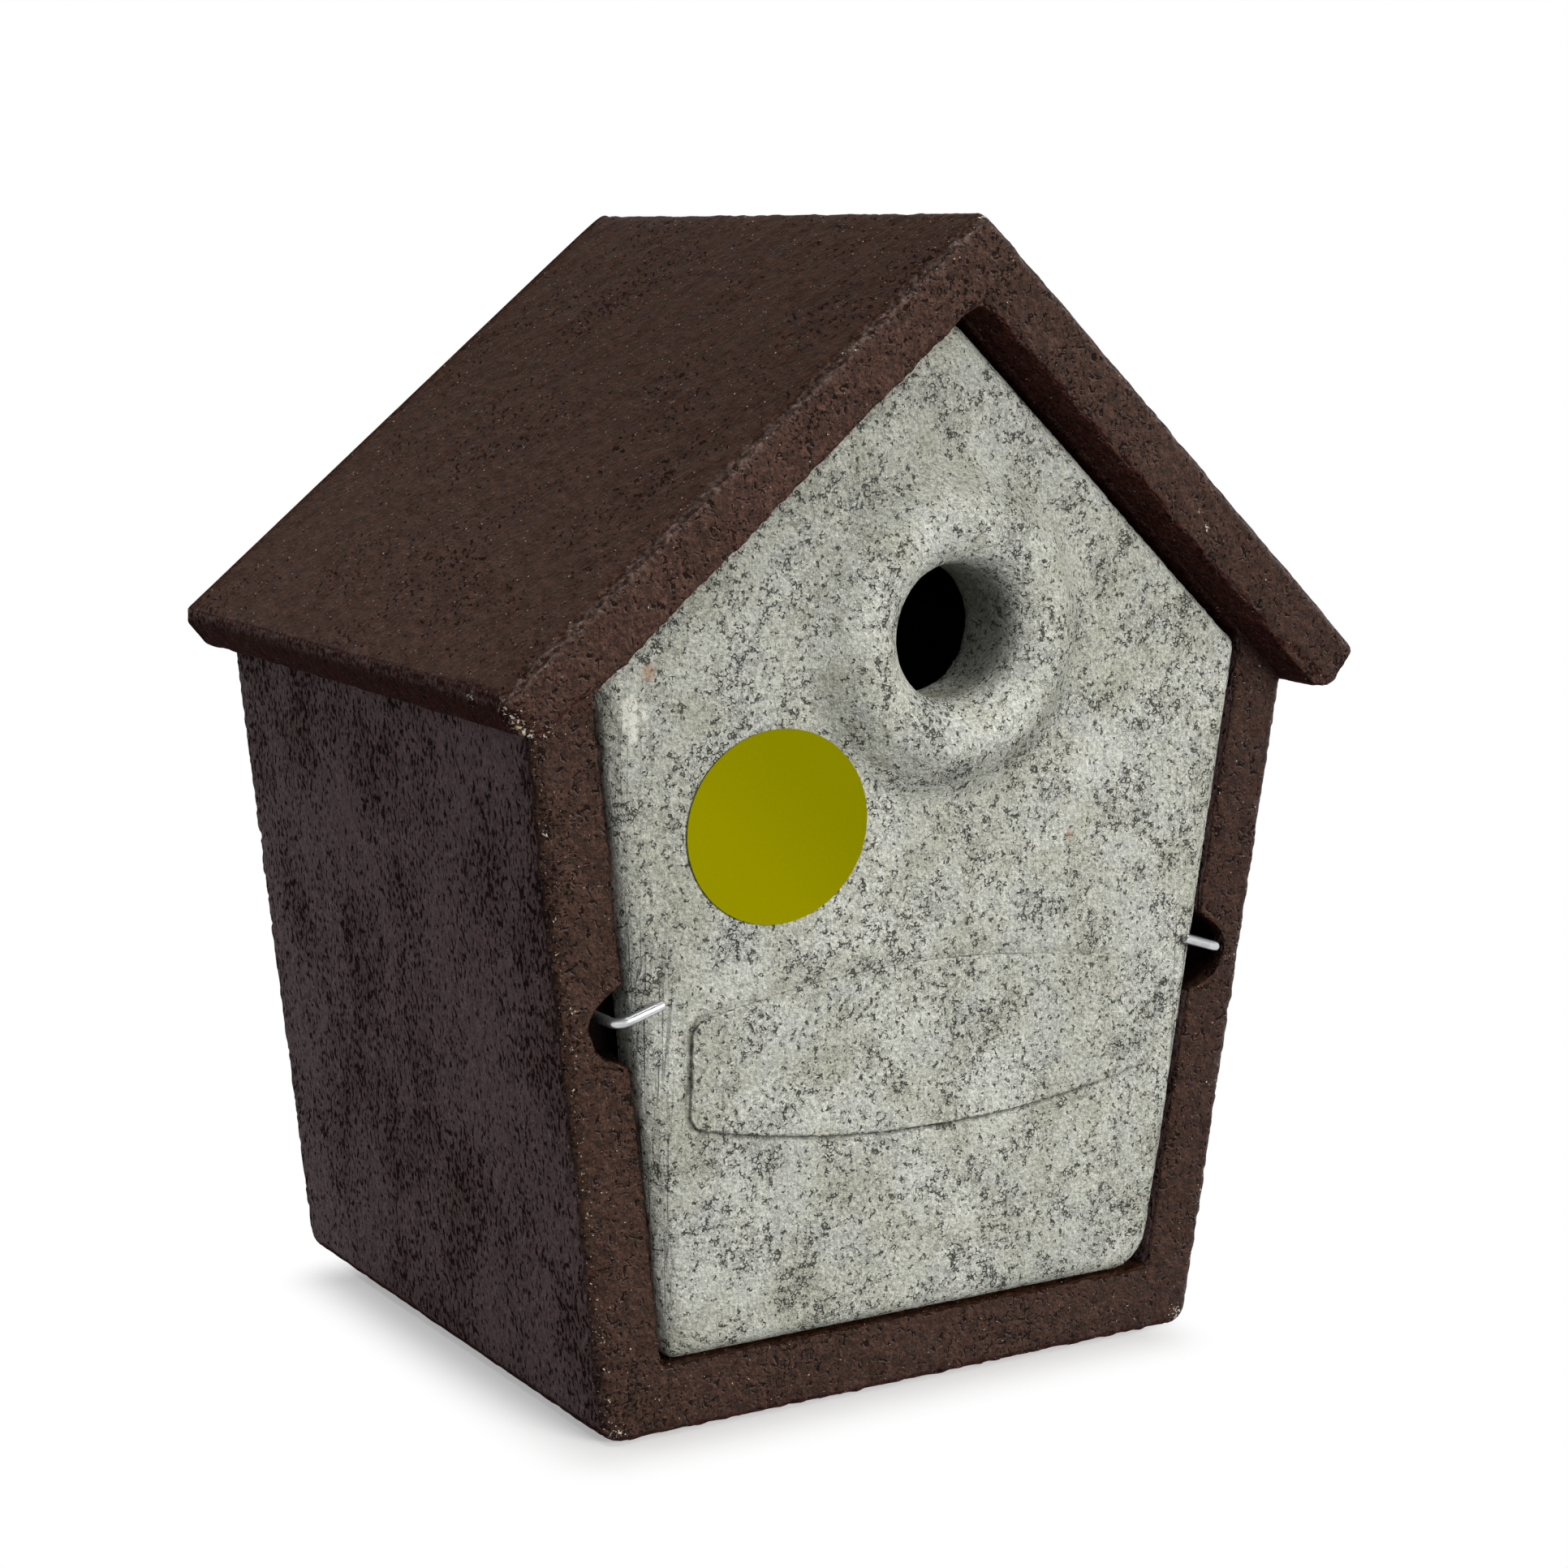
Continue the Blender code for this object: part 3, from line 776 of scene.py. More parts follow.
def makeWalls(materials):
    # House outlines joined into a closed tube: nail hole, chamber, ledge, seat, front rim, outer
    # sides and back. Every point then sinks along its normal by the relief.
    w = walls
    seatSlope = house["roofThickness"] + w["slopeStep"]
    outer = houseCorners(0, house["roofThickness"] / 2, 0)
    seat = houseCorners(house["wallThickness"], seatSlope, house["floorThickness"])
    inner = houseCorners(
        house["wallThickness"] + w["ledge"], seatSlope + w["ledge"],
        house["floorThickness"] + w["ledge"],
    )
    upper = (house["shoulderRound"], house["peakRound"], house["shoulderRound"])
    outerRounds = (w["baseRound"], w["baseRound"]) + upper
    seatRounds = (w["seatCorner"], w["seatCorner"]) + upper
    innerRounds = (w["chamberRound"],) * 5
    counts = w["sideCounts"]
    ledgeY = wallFront + w["ledgeDepth"]
    chamberBack = back - w["backThickness"]
    nail = np.array((0, w["nailHeight"]))

    rings, edges = [], []

    def add(flat, y, edge=0.0):
        rings.append(ringAt(flat, y))
        edges.append(edge)

    chamberEnd = houseOutline(inner, innerRounds, counts, w["draft"] + w["chamberBackRound"])
    bore = circleLike(chamberEnd, nail, w["nailRadius"])
    for y in np.linspace(back, chamberBack, 10)[1:]:
        add(bore, y)
    for share in np.linspace(0, 1, 21)[1:-1]:
        add(mix(bore, chamberEnd, share), chamberBack)
    for angle in arcSteps(6):
        turnIn = w["chamberBackRound"] * (1 - sin(angle))
        y = chamberBack - w["chamberBackRound"] * (1 - cos(angle))
        add(houseOutline(inner, innerRounds, counts, w["draft"] + turnIn), y)
    for share in np.linspace(0, 1, 25)[1:]:
        y = mix(chamberBack - w["chamberBackRound"], ledgeY, share)
        add(houseOutline(inner, innerRounds, counts, w["draft"] * (1 - share)), y)
    ledgeStart = len(rings)
    chamberFront = houseOutline(inner, innerRounds, counts, 0)
    seatFlat = houseOutline(seat, seatRounds, counts, 0)
    for share in np.linspace(0, 1, 8)[1:-1]:
        add(mix(chamberFront, seatFlat, share), ledgeY)
    seatStart = len(rings)
    for y in np.linspace(ledgeY, wallFront + w["innerRound"], 13):
        add(seatFlat, y, w["seatEdge"])
    for angle in arcSteps(3)[1:]:
        grown = houseOutline(seat, seatRounds, counts, -w["innerRound"] * (1 - cos(angle)))
        add(grown, wallFront + w["innerRound"] * (1 - sin(angle)), w["innerEdge"])
    seatEnd = len(rings)
    innerRim = rings[-1][:, (0, 2)]
    outerRim = houseOutline(outer, outerRounds, counts, w["edgeRound"])
    for share in np.linspace(0, 1, 18)[1:-1]:
        near = 1 - easeStep(min(share, 1 - share) * house["wallThickness"], 0.0, 0.005)
        add(mix(innerRim, outerRim, share), wallFront, near * (1.3 - 0.7 * share))
    for angle in arcSteps(6):
        flat = houseOutline(outer, outerRounds, counts, w["edgeRound"] * (1 - sin(angle)))
        add(flat, wallFront + w["edgeRound"] * (1 - cos(angle)), w["outerEdge"])
    outerFlat = rings[-1][:, (0, 2)]
    outerStart = wallFront + w["edgeRound"]
    for y in spreadLine(outerStart, back, 0.0006, 0.0011, 0.012)[1:]:
        near = 1 - easeStep(min(y - outerStart, back - y), 0.0, 0.004)
        add(outerFlat, y, w["backEdge"] * near)
    backBore = circleLike(outerFlat, nail, w["nailRadius"])
    for share in np.linspace(0, 1, 60)[1:] ** 1.3:
        near = 1 - easeStep(share, 0.0, 0.03)
        add(mix(outerFlat, backBore, share), back, w["backEdge"] * near)

    grid = np.stack(rings)
    edge = np.repeat(np.array(edges), grid.shape[1])
    cutNotches(grid, ledgeStart, seatStart, seatEnd, ledgeY)
    points, quads, normals = closeGrid(grid)
    x, y, z = points.T
    hidden = (y > ledgeY + 0.002) & (y < chamberBack + 0.001) & (np.abs(x) < 0.085) & (z > 0.012)
    flatBack = easeStep(normals[:, 1], 0.8, 0.95)
    underside = easeStep(-normals[:, 2], 0.9, 0.98)
    calm = 1 - 0.8 * np.maximum(flatBack, underside)
    upright = easeStep(np.abs(normals[:, 0]), 0.8, 0.95) * (y > wallFront + 0.002)
    dragged = pitField(points * np.array(coarse["dragSqueeze"]), *coarse["drags"])
    dragged = coarse["dragDepth"] * upright * dragged
    relief = (coarseRelief(points, edge) - 0.0004 * (1 + edge) + dragged) * calm
    relief *= np.where(hidden, 0.35, 1)
    points = insideBox(points - normals * relief[:, None])
    piece = addPainted("wallShell", points, quads, materials, w["most"])
    x, y, z = pointsOf(piece).T
    # Painted shade inside the hook notches, darker further in from the wall's front
    off = np.hypot((np.abs(x) - wallX(w["notchHeight"], house["wallThickness"])) / w["notchAcross"],
                   (z - w["notchHeight"]) / w["notchUp"])
    start, full, end = (wallFront + reach for reach in w["darkReach"])
    notchShade = (1 - easeStep(off, 1.0, 1.1)) * easeStep(y, start, full)
    addMask(piece, "notchShade", notchShade * (y < end))
    addMask(piece, "wall", np.ones(len(x)))


def cutNotches(grid, ledgeStart, seatStart, seatEnd, ledgeY):
    # Pushes the seat's sides out at each hook, x = edge + a (1 - (dz / b)^2)^0.7, over the notch's
    # depth from the wall's front, and lays what it covers of the ledge back to its floor.
    across, up, height = walls["notchAcross"], walls["notchUp"], walls["notchHeight"]
    edgeX = wallX(height, house["wallThickness"])
    floorY = wallFront + walls["notchDepth"]
    rowsOut = grid[seatStart:seatEnd]
    x, y, z = np.moveaxis(rowsOut, -1, 0)
    reach = across * np.clip(1 - ((z - height) / up) ** 2, 0, None) ** 0.7
    inside = (np.abs(z - height) < up) & (np.abs(x) < edgeX + reach) & (np.abs(x) > 0.05)
    depthShare = np.clip((y - wallFront) / (ledgeY - wallFront), 0, 1)
    deeper = wallFront + depthShare * (floorY - wallFront)
    x[inside] = (np.sign(x) * (edgeX + reach))[inside]
    y[inside] = deeper[inside]
    rowsBack = grid[ledgeStart - 3:seatStart]
    x, y, z = np.moveaxis(rowsBack, -1, 0)
    off = np.hypot((np.abs(x) - edgeX) / across, (z - height) / up)
    covered = (off < 1) & (y < floorY)
    y[covered] = floorY
    rowsFront = grid[seatEnd:seatEnd + 16]
    x, z = rowsFront[..., 0], rowsFront[..., 2]
    rim = grid[seatEnd - 1, :, 0]
    outside = grid[seatEnd + 16, :, 0]
    share = np.linspace(0, 1, 18)[1:-1, None]
    near = (np.abs(z - height) < up) & (np.abs(x) > 0.05)
    x[near] = mix(rim, outside, share)[near]


# Front with its flared entrance
front = dict(
    thickness=0.012,
    proud=0.0025,
    sideGap=0.001,
    slopeGap=0.0013,
    seatGap=0.0003,
    faceRound=0.006,
    rearChamfer=0.001,
    rounds=(0.004, 0.012, 0.005, 0.006, 0.005),
    holeRadius=0.016,
    holeHeight=0.190,
    nose=0.0085,
    lipRound=0.0095,
    crest=0.0010,
    flare=0.0165,
    flarePower=1.1,
    collar=0.0036,
    collarInner=0.0240,
    collarOuter=0.0300,
    markReach=0.008,
    sideCounts=(180, 180, 130, 130, 180),
    most=196000,
)
face = wallFront - front["proud"]
frontRear = face + front["thickness"]

# Raised plate low on the front
plate = dict(
    left=-0.0696,
    right=0.0705,
    sideLow=0.0755,
    sideHigh=0.1010,
    bottomLow=0.0672,
    topHigh=0.1098,
    raised=0.00055,
    sunk=0.0015,
    cornerRound=0.0004,
    spacing=0.0006,
    grooveOff=0.0004,
    grooveWidth=0.0012,
    grooveDepth=0.0004,
    round=0.0035,
    most=60000,
)


def plateEdges(x):
    # Bottom and top of the plate at x: two parabolas through its corners and its middle.
    middle = (plate["left"] + plate["right"]) / 2
    half = (plate["right"] - plate["left"]) / 2
    share = ((x - middle) / half) ** 2
    low = plate["bottomLow"] + (plate["sideLow"] - plate["bottomLow"]) * share
    high = plate["topHigh"] + (plate["sideHigh"] - plate["topHigh"]) * share
    return low, high


def plateDistance(points):
    # Distance outside the plate's outline with its rounded corners, negative inside:
    # |max(q, 0)| + min(max(q), 0) - r, where q is r plus the distance beyond each pair of sides.
    x, _, z = points.T
    low, high = plateEdges(x)
    wide = np.maximum(plate["left"] - x, x - plate["right"]) + plate["round"]
    tall = np.maximum(low - z, z - high) + plate["round"]
    outside = np.hypot(np.maximum(wide, 0), np.maximum(tall, 0))
    return outside + np.minimum(np.maximum(wide, tall), 0) - plate["round"]


# Reliefs of the front, as their depth and the settings of their noise
fine = dict(
    waveDepth=0.00035, waves=(0.030, 51, 2),
    pitDepth=0.00028, pits=(0.0026, 53, 0.40), pitGroups=(0.02, 59, 2),
    grainDepth=0.00016, grains=(0.0022, 61, 2),
    drawDepth=0.0006, draws=(0.0016, 67, 2), drawSqueeze=(1, 1, 0.06),
    tearDepth=0.0007, tears=(0.0024, 83, 0.45), tearSqueeze=(1, 1, 0.5),
    turnDepth=0.00022, turns=(0.0011, 73, 2), turnReach=0.003,
    rimDepth=0.0007, rims=(0.003, 79, 2),
)


def frontRelief(points, onSides):
    # Fine woodcrete: low waves of the hand-filled mould, small pits, and draw marks on the sides.
    f = fine
    waves = f["waveDepth"] * layeredNoise(points, *f["waves"])
    small = f["pitDepth"] * pitField(points, *f["pits"]) * layeredNoise(points, *f["pitGroups"])
    grainy = f["grainDepth"] * layeredNoise(points, *f["grains"])
    draws = f["drawDepth"] * layeredNoise(points * np.array(f["drawSqueeze"]), *f["draws"])
    tears = f["tearDepth"] * pitField(points * np.array(f["tearSqueeze"]), *f["tears"])
    return waves + small + grainy + onSides * (draws + tears)


def noseProfile():
    # Radius and depth from the bore's rear edge, round the lip, and down the cosine flare.
    crestY = face - front["nose"]
    borePlaces = np.linspace(frontRear + front["collar"], crestY + front["lipRound"], 14)[:-1]
    bore = [(front["holeRadius"], y) for y in borePlaces]
    lip = []
    for angle in arcSteps(8):
        radius = front["holeRadius"] + front["lipRound"] * (1 - cos(angle))
        lip.append((radius, crestY + front["lipRound"] * (1 - sin(angle))))
    crest = [(lip[-1][0] + front["crest"] * share, crestY) for share in (0.35, 0.7)]
    start = lip[-1][0] + front["crest"]
    flare = []
    for share in np.linspace(0, 1, 25):
        fall = (1 - cos(pi * share ** front["flarePower"])) / 2
        flare.append((start + front["flare"] * share, crestY + front["nose"] * fall))
    return bore + lip + crest + flare


# Marks on the front, as (x, lower z, upper z, half width): pale runs of lime, and a tan stain
frontMarks = dict(
    paleRun=((-0.0885, 0.1722, 0.1775, 0.0010), (-0.0866, 0.1690, 0.1782, 0.0012),
             (-0.0835, 0.1745, 0.1762, 0.0012)),
    stain=((-0.0827, 0.1838, 0.1844, 0.0016), (0.0400, 0.1370, 0.1374, 0.0010)),
)


def addMarks(piece):
    # Each mark fades out over its half width round an upright line.
    x, y, z = pointsOf(piece).T
    for name, marks in frontMarks.items():
        mask = np.zeros(len(x))
        for markX, low, high, width in marks:
            beyond = np.maximum(np.maximum(low - z, z - high), 0)
            off = np.hypot(x - markX, beyond)
            mask = np.maximum(mask, 1 - easeStep(off, 0.4 * width, 1.6 * width))
        addMask(piece, name, mask * (y < face + front["markReach"]))


def makeFront(material):
    # Outlines joined into a closed tube: bore, lip, flare, face, rounded edge, sides, rear and
    # collar. Every point then sinks along its normal by the relief.
    f = front
    corners = houseCorners(
        house["wallThickness"] + f["sideGap"],
        house["roofThickness"] + walls["slopeStep"] + f["slopeGap"],
        house["floorThickness"] + f["seatGap"],
    )
    counts = f["sideCounts"]
    hole = np.array((0, f["holeHeight"]))
    faceFlat = houseOutline(corners, f["rounds"], counts, f["faceRound"])
    rings = []
    for radius, y in noseProfile():
        rings.append(ringAt(circleLike(faceFlat, hole, radius), y))
    flareEnd = rings[-1][:, (0, 2)]
    for share in np.linspace(0, 1, 118)[1:-1]:
        rings.append(ringAt(mix(flareEnd, faceFlat, share), face))
    for angle in arcSteps(8):
        flat = houseOutline(corners, f["rounds"], counts, f["faceRound"] * (1 - sin(angle)))
        rings.append(ringAt(flat, face + f["faceRound"] * (1 - cos(angle))))
    outerFlat = rings[-1][:, (0, 2)]
    for y in np.linspace(face + f["faceRound"], frontRear - f["rearChamfer"], 6)[1:]:
        rings.append(ringAt(outerFlat, y))
    rearFlat = houseOutline(corners, f["rounds"], counts, f["rearChamfer"])
    collarFlat = circleLike(rearFlat, hole, f["collarOuter"])
    for share in np.linspace(0, 1, 20):
        rings.append(ringAt(mix(rearFlat, collarFlat, share), frontRear))
    for share in np.linspace(0, 1, 9)[1:]:
        radius = f["collarOuter"] + (f["collarInner"] - f["collarOuter"]) * share
        rise = f["collar"] * (1 - cos(pi * share)) / 2
        rings.append(ringAt(circleLike(rearFlat, hole, radius), frontRear + rise))
    for share in np.linspace(0, 1, 8)[1:-1]:
        radius = f["collarInner"] + (f["holeRadius"] - f["collarInner"]) * share
        rings.append(ringAt(circleLike(rearFlat, hole, radius), frontRear + f["collar"]))
    grid = np.stack(rings)
    points, quads, normals = closeGrid(grid)
    x, y, z = points.T
    onSides = easeStep(np.abs(normals[:, 0]), 0.25, 0.7) * (np.abs(x) > 0.05)
    beyond = plateDistance(points)
    onFace = easeStep(-normals[:, 1], 0.8, 0.95) * (z < 0.13)
    groove = np.exp(-((beyond - plate["grooveOff"]) / plate["grooveWidth"]) ** 2)
    groove = groove * plate["grooveDepth"] * onFace
    radius = np.hypot(x, z - f["holeHeight"])
    onRing = easeStep(radius, 0.016, 0.020) * (1 - easeStep(radius, 0.030, 0.036))
    angle = np.arctan2(z - f["holeHeight"], x)
    turned = np.stack([radius, angle * fine["turnReach"], np.zeros(len(x))], axis=1)
    turned = fine["turnDepth"] * onRing * layeredNoise(turned, *fine["turns"])
    rim = 1 - easeStep(frontRear + f["collar"] - y, 0.0, 0.002)
    rim = fine["rimDepth"] * rim * (1 - easeStep(radius, 0.0165, 0.0185))
    rim = rim * layeredNoise(points, *fine["rims"])
    relief = frontRelief(points, onSides) + groove + turned + rim
    relief *= np.where((y > frontRear - 0.0005) & (radius > 0.0165), 0.0, 1)
    points = points - normals * relief[:, None]
    piece = addPiece("castFront", points, quads, material, "front", "grey_woodcrete",
                     "front_panel", f["most"])
    addMarks(piece)


def makePlate(material):
    # A rounded slab whose long edges are the plate's two parabolas, sunk into the front.
    p = plate
    middle = (p["left"] + p["right"]) / 2
    halfWidth = (p["right"] - p["left"]) / 2
    halfHeight = (p["topHigh"] - p["bottomLow"]) / 2
    halfDepth = (p["raised"] + p["sunk"]) / 2
    half = np.array((halfWidth, halfDepth, halfHeight))
    acrossLine = np.linspace(-halfWidth, halfWidth, 2 * round(halfWidth / p["spacing"]) + 1)
    upLine = np.linspace(-halfHeight, halfHeight, 2 * round(halfHeight / p["spacing"]) + 1)
    depthLine = np.linspace(-halfDepth, halfDepth, 7)
    flat, quads = boxSurface(acrossLine, depthLine, upLine)
    flat = roundOff(flat, half, np.full(3, p["cornerRound"]))
    x = middle + flat[:, 0]
    low, high = plateEdges(x)
    share = (flat[:, 2] + halfHeight) / (2 * halfHeight)
    z = low + (high - low) * share
    wide = np.abs(x - middle) - halfWidth + p["round"]
    tall = np.maximum(low - z, z - high) + p["round"]
    pulled = np.maximum(wide, tall) / np.maximum(np.hypot(wide, tall), 1e-9)
    pulled = np.where((wide > 0) & (tall > 0), pulled, 1)
    x = x - np.sign(x - middle) * wide * (1 - pulled)
    z = z - np.sign(z - (low + high) / 2) * tall * (1 - pulled)
    y = face - p["raised"] + halfDepth + flat[:, 1]
    points = np.stack([x, y, z], axis=1)
    normals = normalsOf(points, quads)
    relief = frontRelief(points, np.zeros(len(points)))
    points = points - normals * relief[:, None]
    addPiece("barePlate", points, quads, material, "front", "grey_woodcrete", "front_panel",
             p["most"])


# Grey woodcrete with fibres
grey = dict(
    base=(0.541, 0.553, 0.482, 1),
    pale=(0.641, 0.656, 0.593, 1),
    green=(0.470, 0.475, 0.390, 1),
    cool=(0.530, 0.550, 0.520, 1),
    pit=(0.035, 0.033, 0.028, 1),
    crack=(0.075, 0.073, 0.064, 1),
    soft=(0.215, 0.215, 0.190, 1),
    fibre=(0.62, 0.60, 0.49, 1),
    tan=(0.44, 0.31, 0.21, 1),
    line=(0.100, 0.095, 0.080, 1),
    lime=(0.78, 0.78, 0.70, 1),
    topShade=0.76,
    ringPale=1.11,
    boreShade=0.62,
    hollowShade=0.90,
    leftShade=0.90,
    roughness=0.95,
    specular=0.06,
)


def plateShadowLine(place):
    # Painted shadow in the corner round the raised plate: a thin line where the distance outside
    # its outline is next to nothing, strong at its left and below, faint above and at its right.
    p = plate
    x, y, z = splitUp(place)
    share = (x - (p["left"] + p["right"]) / 2) / ((p["right"] - p["left"]) / 2)
    share = share * share
    low = share * (p["sideLow"] - p["bottomLow"]) + p["bottomLow"]
    high = share * (p["sideHigh"] - p["topHigh"]) + p["topHigh"]
    wide = larger(calc("SUBTRACT", p["left"], x), x - p["right"]) + p["round"]
    tall = larger(low - z, z - high) + p["round"]
    outside = make("CombineXYZ", {"X": larger(wide), "Y": larger(tall)})
    beyond = vectorCalc("LENGTH", outside) + calc("MINIMUM", larger(wide, tall))
    wobble = (grain(place, 0.003) - 0.5) * 0.0018
    off = abs(beyond - (p["round"] + 0.0002) + wobble)
    line = between(off, 0.0011, 0.0001) * between(grain(place, 0.0022), 0.30, 0.60, 0.35, 1.0)
    atLeft = between(x, p["left"] + 0.004, p["left"] + 0.002)
    line = line * larger(atLeft, between(z, 0.090, 0.100, 1.0, 0.35))
    return line * between(x, 0.040, 0.062, 1.0, 0.5) * between(y, -0.076, -0.078)


def greyWoodcrete():
    # Two greys in patches, tinted by grain and by place with painted light and shade, under fibres,
    # cracks, pits, marks and a painted shadow line.
    g = grey
    material, tree, shader = newMaterial("greyWoodcrete", g["roughness"], g["specular"])
    place = coordinates(tree)
    x, _, z = splitUp(place)
    patches = grain(place, 0.024, 5.0, 0.6)
    groups = grain(coordinates(tree, turn=(0.4, 0, 0)), 0.013, 4.0, 0.6)
    tints = grain(coordinates(tree, turn=(0, 0, 0.7)), 0.016, 3.0)
    soft = grain(place, 0.0013, 2.0, 0.7)
    fine = grain(place, 0.00050, 2.0, 0.7)
    base = blend(between(patches, 0.42, 0.62), g["base"], g["pale"])
    base = blend(between(tints, 0.50, 0.66, 0.0, 0.7), base, g["green"])
    base = blend(between(tints, 0.48, 0.34, 0.0, 0.6), base, g["cool"])

    # Painted shade above and at the left, a painted highlight on the ring round the entrance that
    # is strongest on its top, and painted shade in the bore and in the hollow under the flare
    away = vectorCalc("SUBTRACT", place, (0, 0, front["holeHeight"]))
    away = vectorCalc("LENGTH", vectorCalc("MULTIPLY", away, (1, 0, 1)))
    leftShading = between(x, -0.010, -0.085, 1.0, g["leftShade"])
    litRing = between(away, 0.018, 0.024) * between(away, 0.036, 0.028)
    litRing = litRing * between(z, 0.185, 0.212, 0.55, 1.0)
    inBore = between(away, 0.0200, 0.0165) * between(x, 0.004, 0.013)
    hollow = between(away, 0.028, 0.034) * between(away, 0.046, 0.038)
    hollow = hollow * between(z, 0.186, 0.170)
    base = tinted(
        base,
        between(z, 0.150, 0.262, 1.0, g["topShade"]) * leftShading,
        between(litRing, 0, 1, 1, g["ringPale"]),
        between(inBore, 0, 1, 1, g["boreShade"]),
        between(hollow, 0, 1, 1, g["hollowShade"]),
        between(soft, 0.30, 0.70, 0.92, 1.06),
        between(fine, 0.30, 0.70, 0.80, 1.17),
        # painted light and shade of fine relief
        raked(place, 0.0009, 0.00016, 0.74, 1.24),
    )

    # Fibres, cracks and pits, which gather in groups
    clusters = (groups - 0.5) * -0.42
    softGate = between(grain(place, 0.0015, 2.0) + clusters, 0.48, 0.62)
    sharpGate = between(grain(place, 0.0017, 2.0) + clusters, 0.560, 0.625)
    softCracks = crackle(place, 0.00085, 0.20, softGate)
    cracks = crackle(place, 0.00110, 0.17, sharpGate)
    fibres = ridges(coordinates(tree, turn=(0.6, 0.3, 1.1)), 0.0024, 0.008)
    fibres = fibres * between(grain(place, 0.0032), 0.54, 0.60)
    pits = between(grain(place, 0.0009, 2.0, distortion=1.5) + clusters, 0.680, 0.735)

    # Draw marks on the upright edges
    drawn = ridges(coordinates(tree, (1, 1, 0.045)), 0.0026, 0.042)
    drawn = drawn * between(grain(coordinates(tree, (1, 1, 0.2)), 0.0045), 0.40, 0.54)
    drawn = drawn * between(abs(x), 0.070, 0.080) * between(z, 0.135, 0.100, 0.25, 1.0)

    plateShadow = plateShadowLine(place)
    faded = between(soft, 0.35, 0.5, 0.45, 0.9)
    for share, colour in (
        (fibres, "fibre"), (softCracks * 0.32, "soft"), (cracks * 0.95, "crack"),
        (pits * 0.85, "pit"), (drawn * 0.72, "crack"),
        (flecks(place, 0.013, 0.0006, 0.18) * 0.45, "tan"),
        (attribute(tree, "paleRun") * faded, "lime"), (attribute(tree, "stain") * faded, "tan"),
        (plateShadow * 0.75, "line"),
    ):
        base = blend(share, base, g[colour])
    height = fine * 0.3 - pits + soft * 0.6 - cracks * 0.7 - softCracks * 0.35
    height = height - drawn * 0.6 - plateShadow * 0.6
    fill(shader, {"Base Color": base, "Normal": bumps(height, 0.0006)})
    return material


# Round label, a plain paper disc
label = dict(
    width=0.050,
    height=0.0465,
    left=0.0470,
    centreHeight=0.146,
    thickness=0.00025,
    gap=0.0001,
    colour=(0.304, 0.283, 0.0002, 1),
    shade=(0.247, 0.238, 0.0002, 1),
)


def paperMaterial():
    # A little darker upwards and to the right, with the paper's fine tooth.
    material, tree, shader = newMaterial("olivePaper", 0.7, 0.0)
    place = coordinates(tree)
    x, _, z = splitUp(place)
    tooth = grain(place, 0.0007)
    base = blend(between(x + z, 0.070, 0.125), label["colour"], label["shade"])
    base = tinted(base, between(tooth, 0.2, 0.8, 0.97, 1.03))
    fill(shader, {"Base Color": base, "Normal": bumps(tooth, 0.00003)})
    return material


def makeLabel(material):
    # Rings of an ellipse: over the paper's front from its middle, round the rim, and back in.
    sides, ringCount, least = 144, 26, 0.002
    angles = np.linspace(0, 2 * pi, sides, endpoint=False)
    shares = np.concatenate([np.linspace(least, 1, ringCount), np.linspace(1, least, 6)])[:, None]
    depths = np.concatenate([np.full(ringCount, -label["thickness"]), np.zeros(6)])
    x = -label["left"] + label["width"] / 2 * shares * np.cos(angles)
    z = label["centreHeight"] + label["height"] / 2 * shares * np.sin(angles)
    y = face - label["gap"] + np.repeat(depths[:, None], sides, axis=1)
    addTube("paperLabel", np.stack([x, y, z], axis=-1), material, "front", "olive_paper",
            "round_label")


# Wire hooks
hook = dict(
    wire=0.0025,
    height=0.1035,
    setIn=0.0124,
    arm=0.0125,
    bend=0.0032,
    rise=radians(17),
    legEnd=0.033,
    tipChamfer=0.00025,
    sides=28,
    zinc=(0.60, 0.61, 0.62, 1),
    darkZinc=(0.44, 0.45, 0.46, 1),
)


def wireMaterial():
    # Spangles: wide soft grains that change colour and gloss a little.
    material, tree, shader = newMaterial("brightZinc", 0.34, 0.5, metallic=0.8)
    spangle = grain(coordinates(tree), 0.0040, 1.0)
    base = blend(between(spangle, 0.4, 0.65), hook["zinc"], hook["darkZinc"])
    fill(shader, {"Base Color": base, "Roughness": between(spangle, 0.35, 0.7, 0.20, 0.42)})
    return material


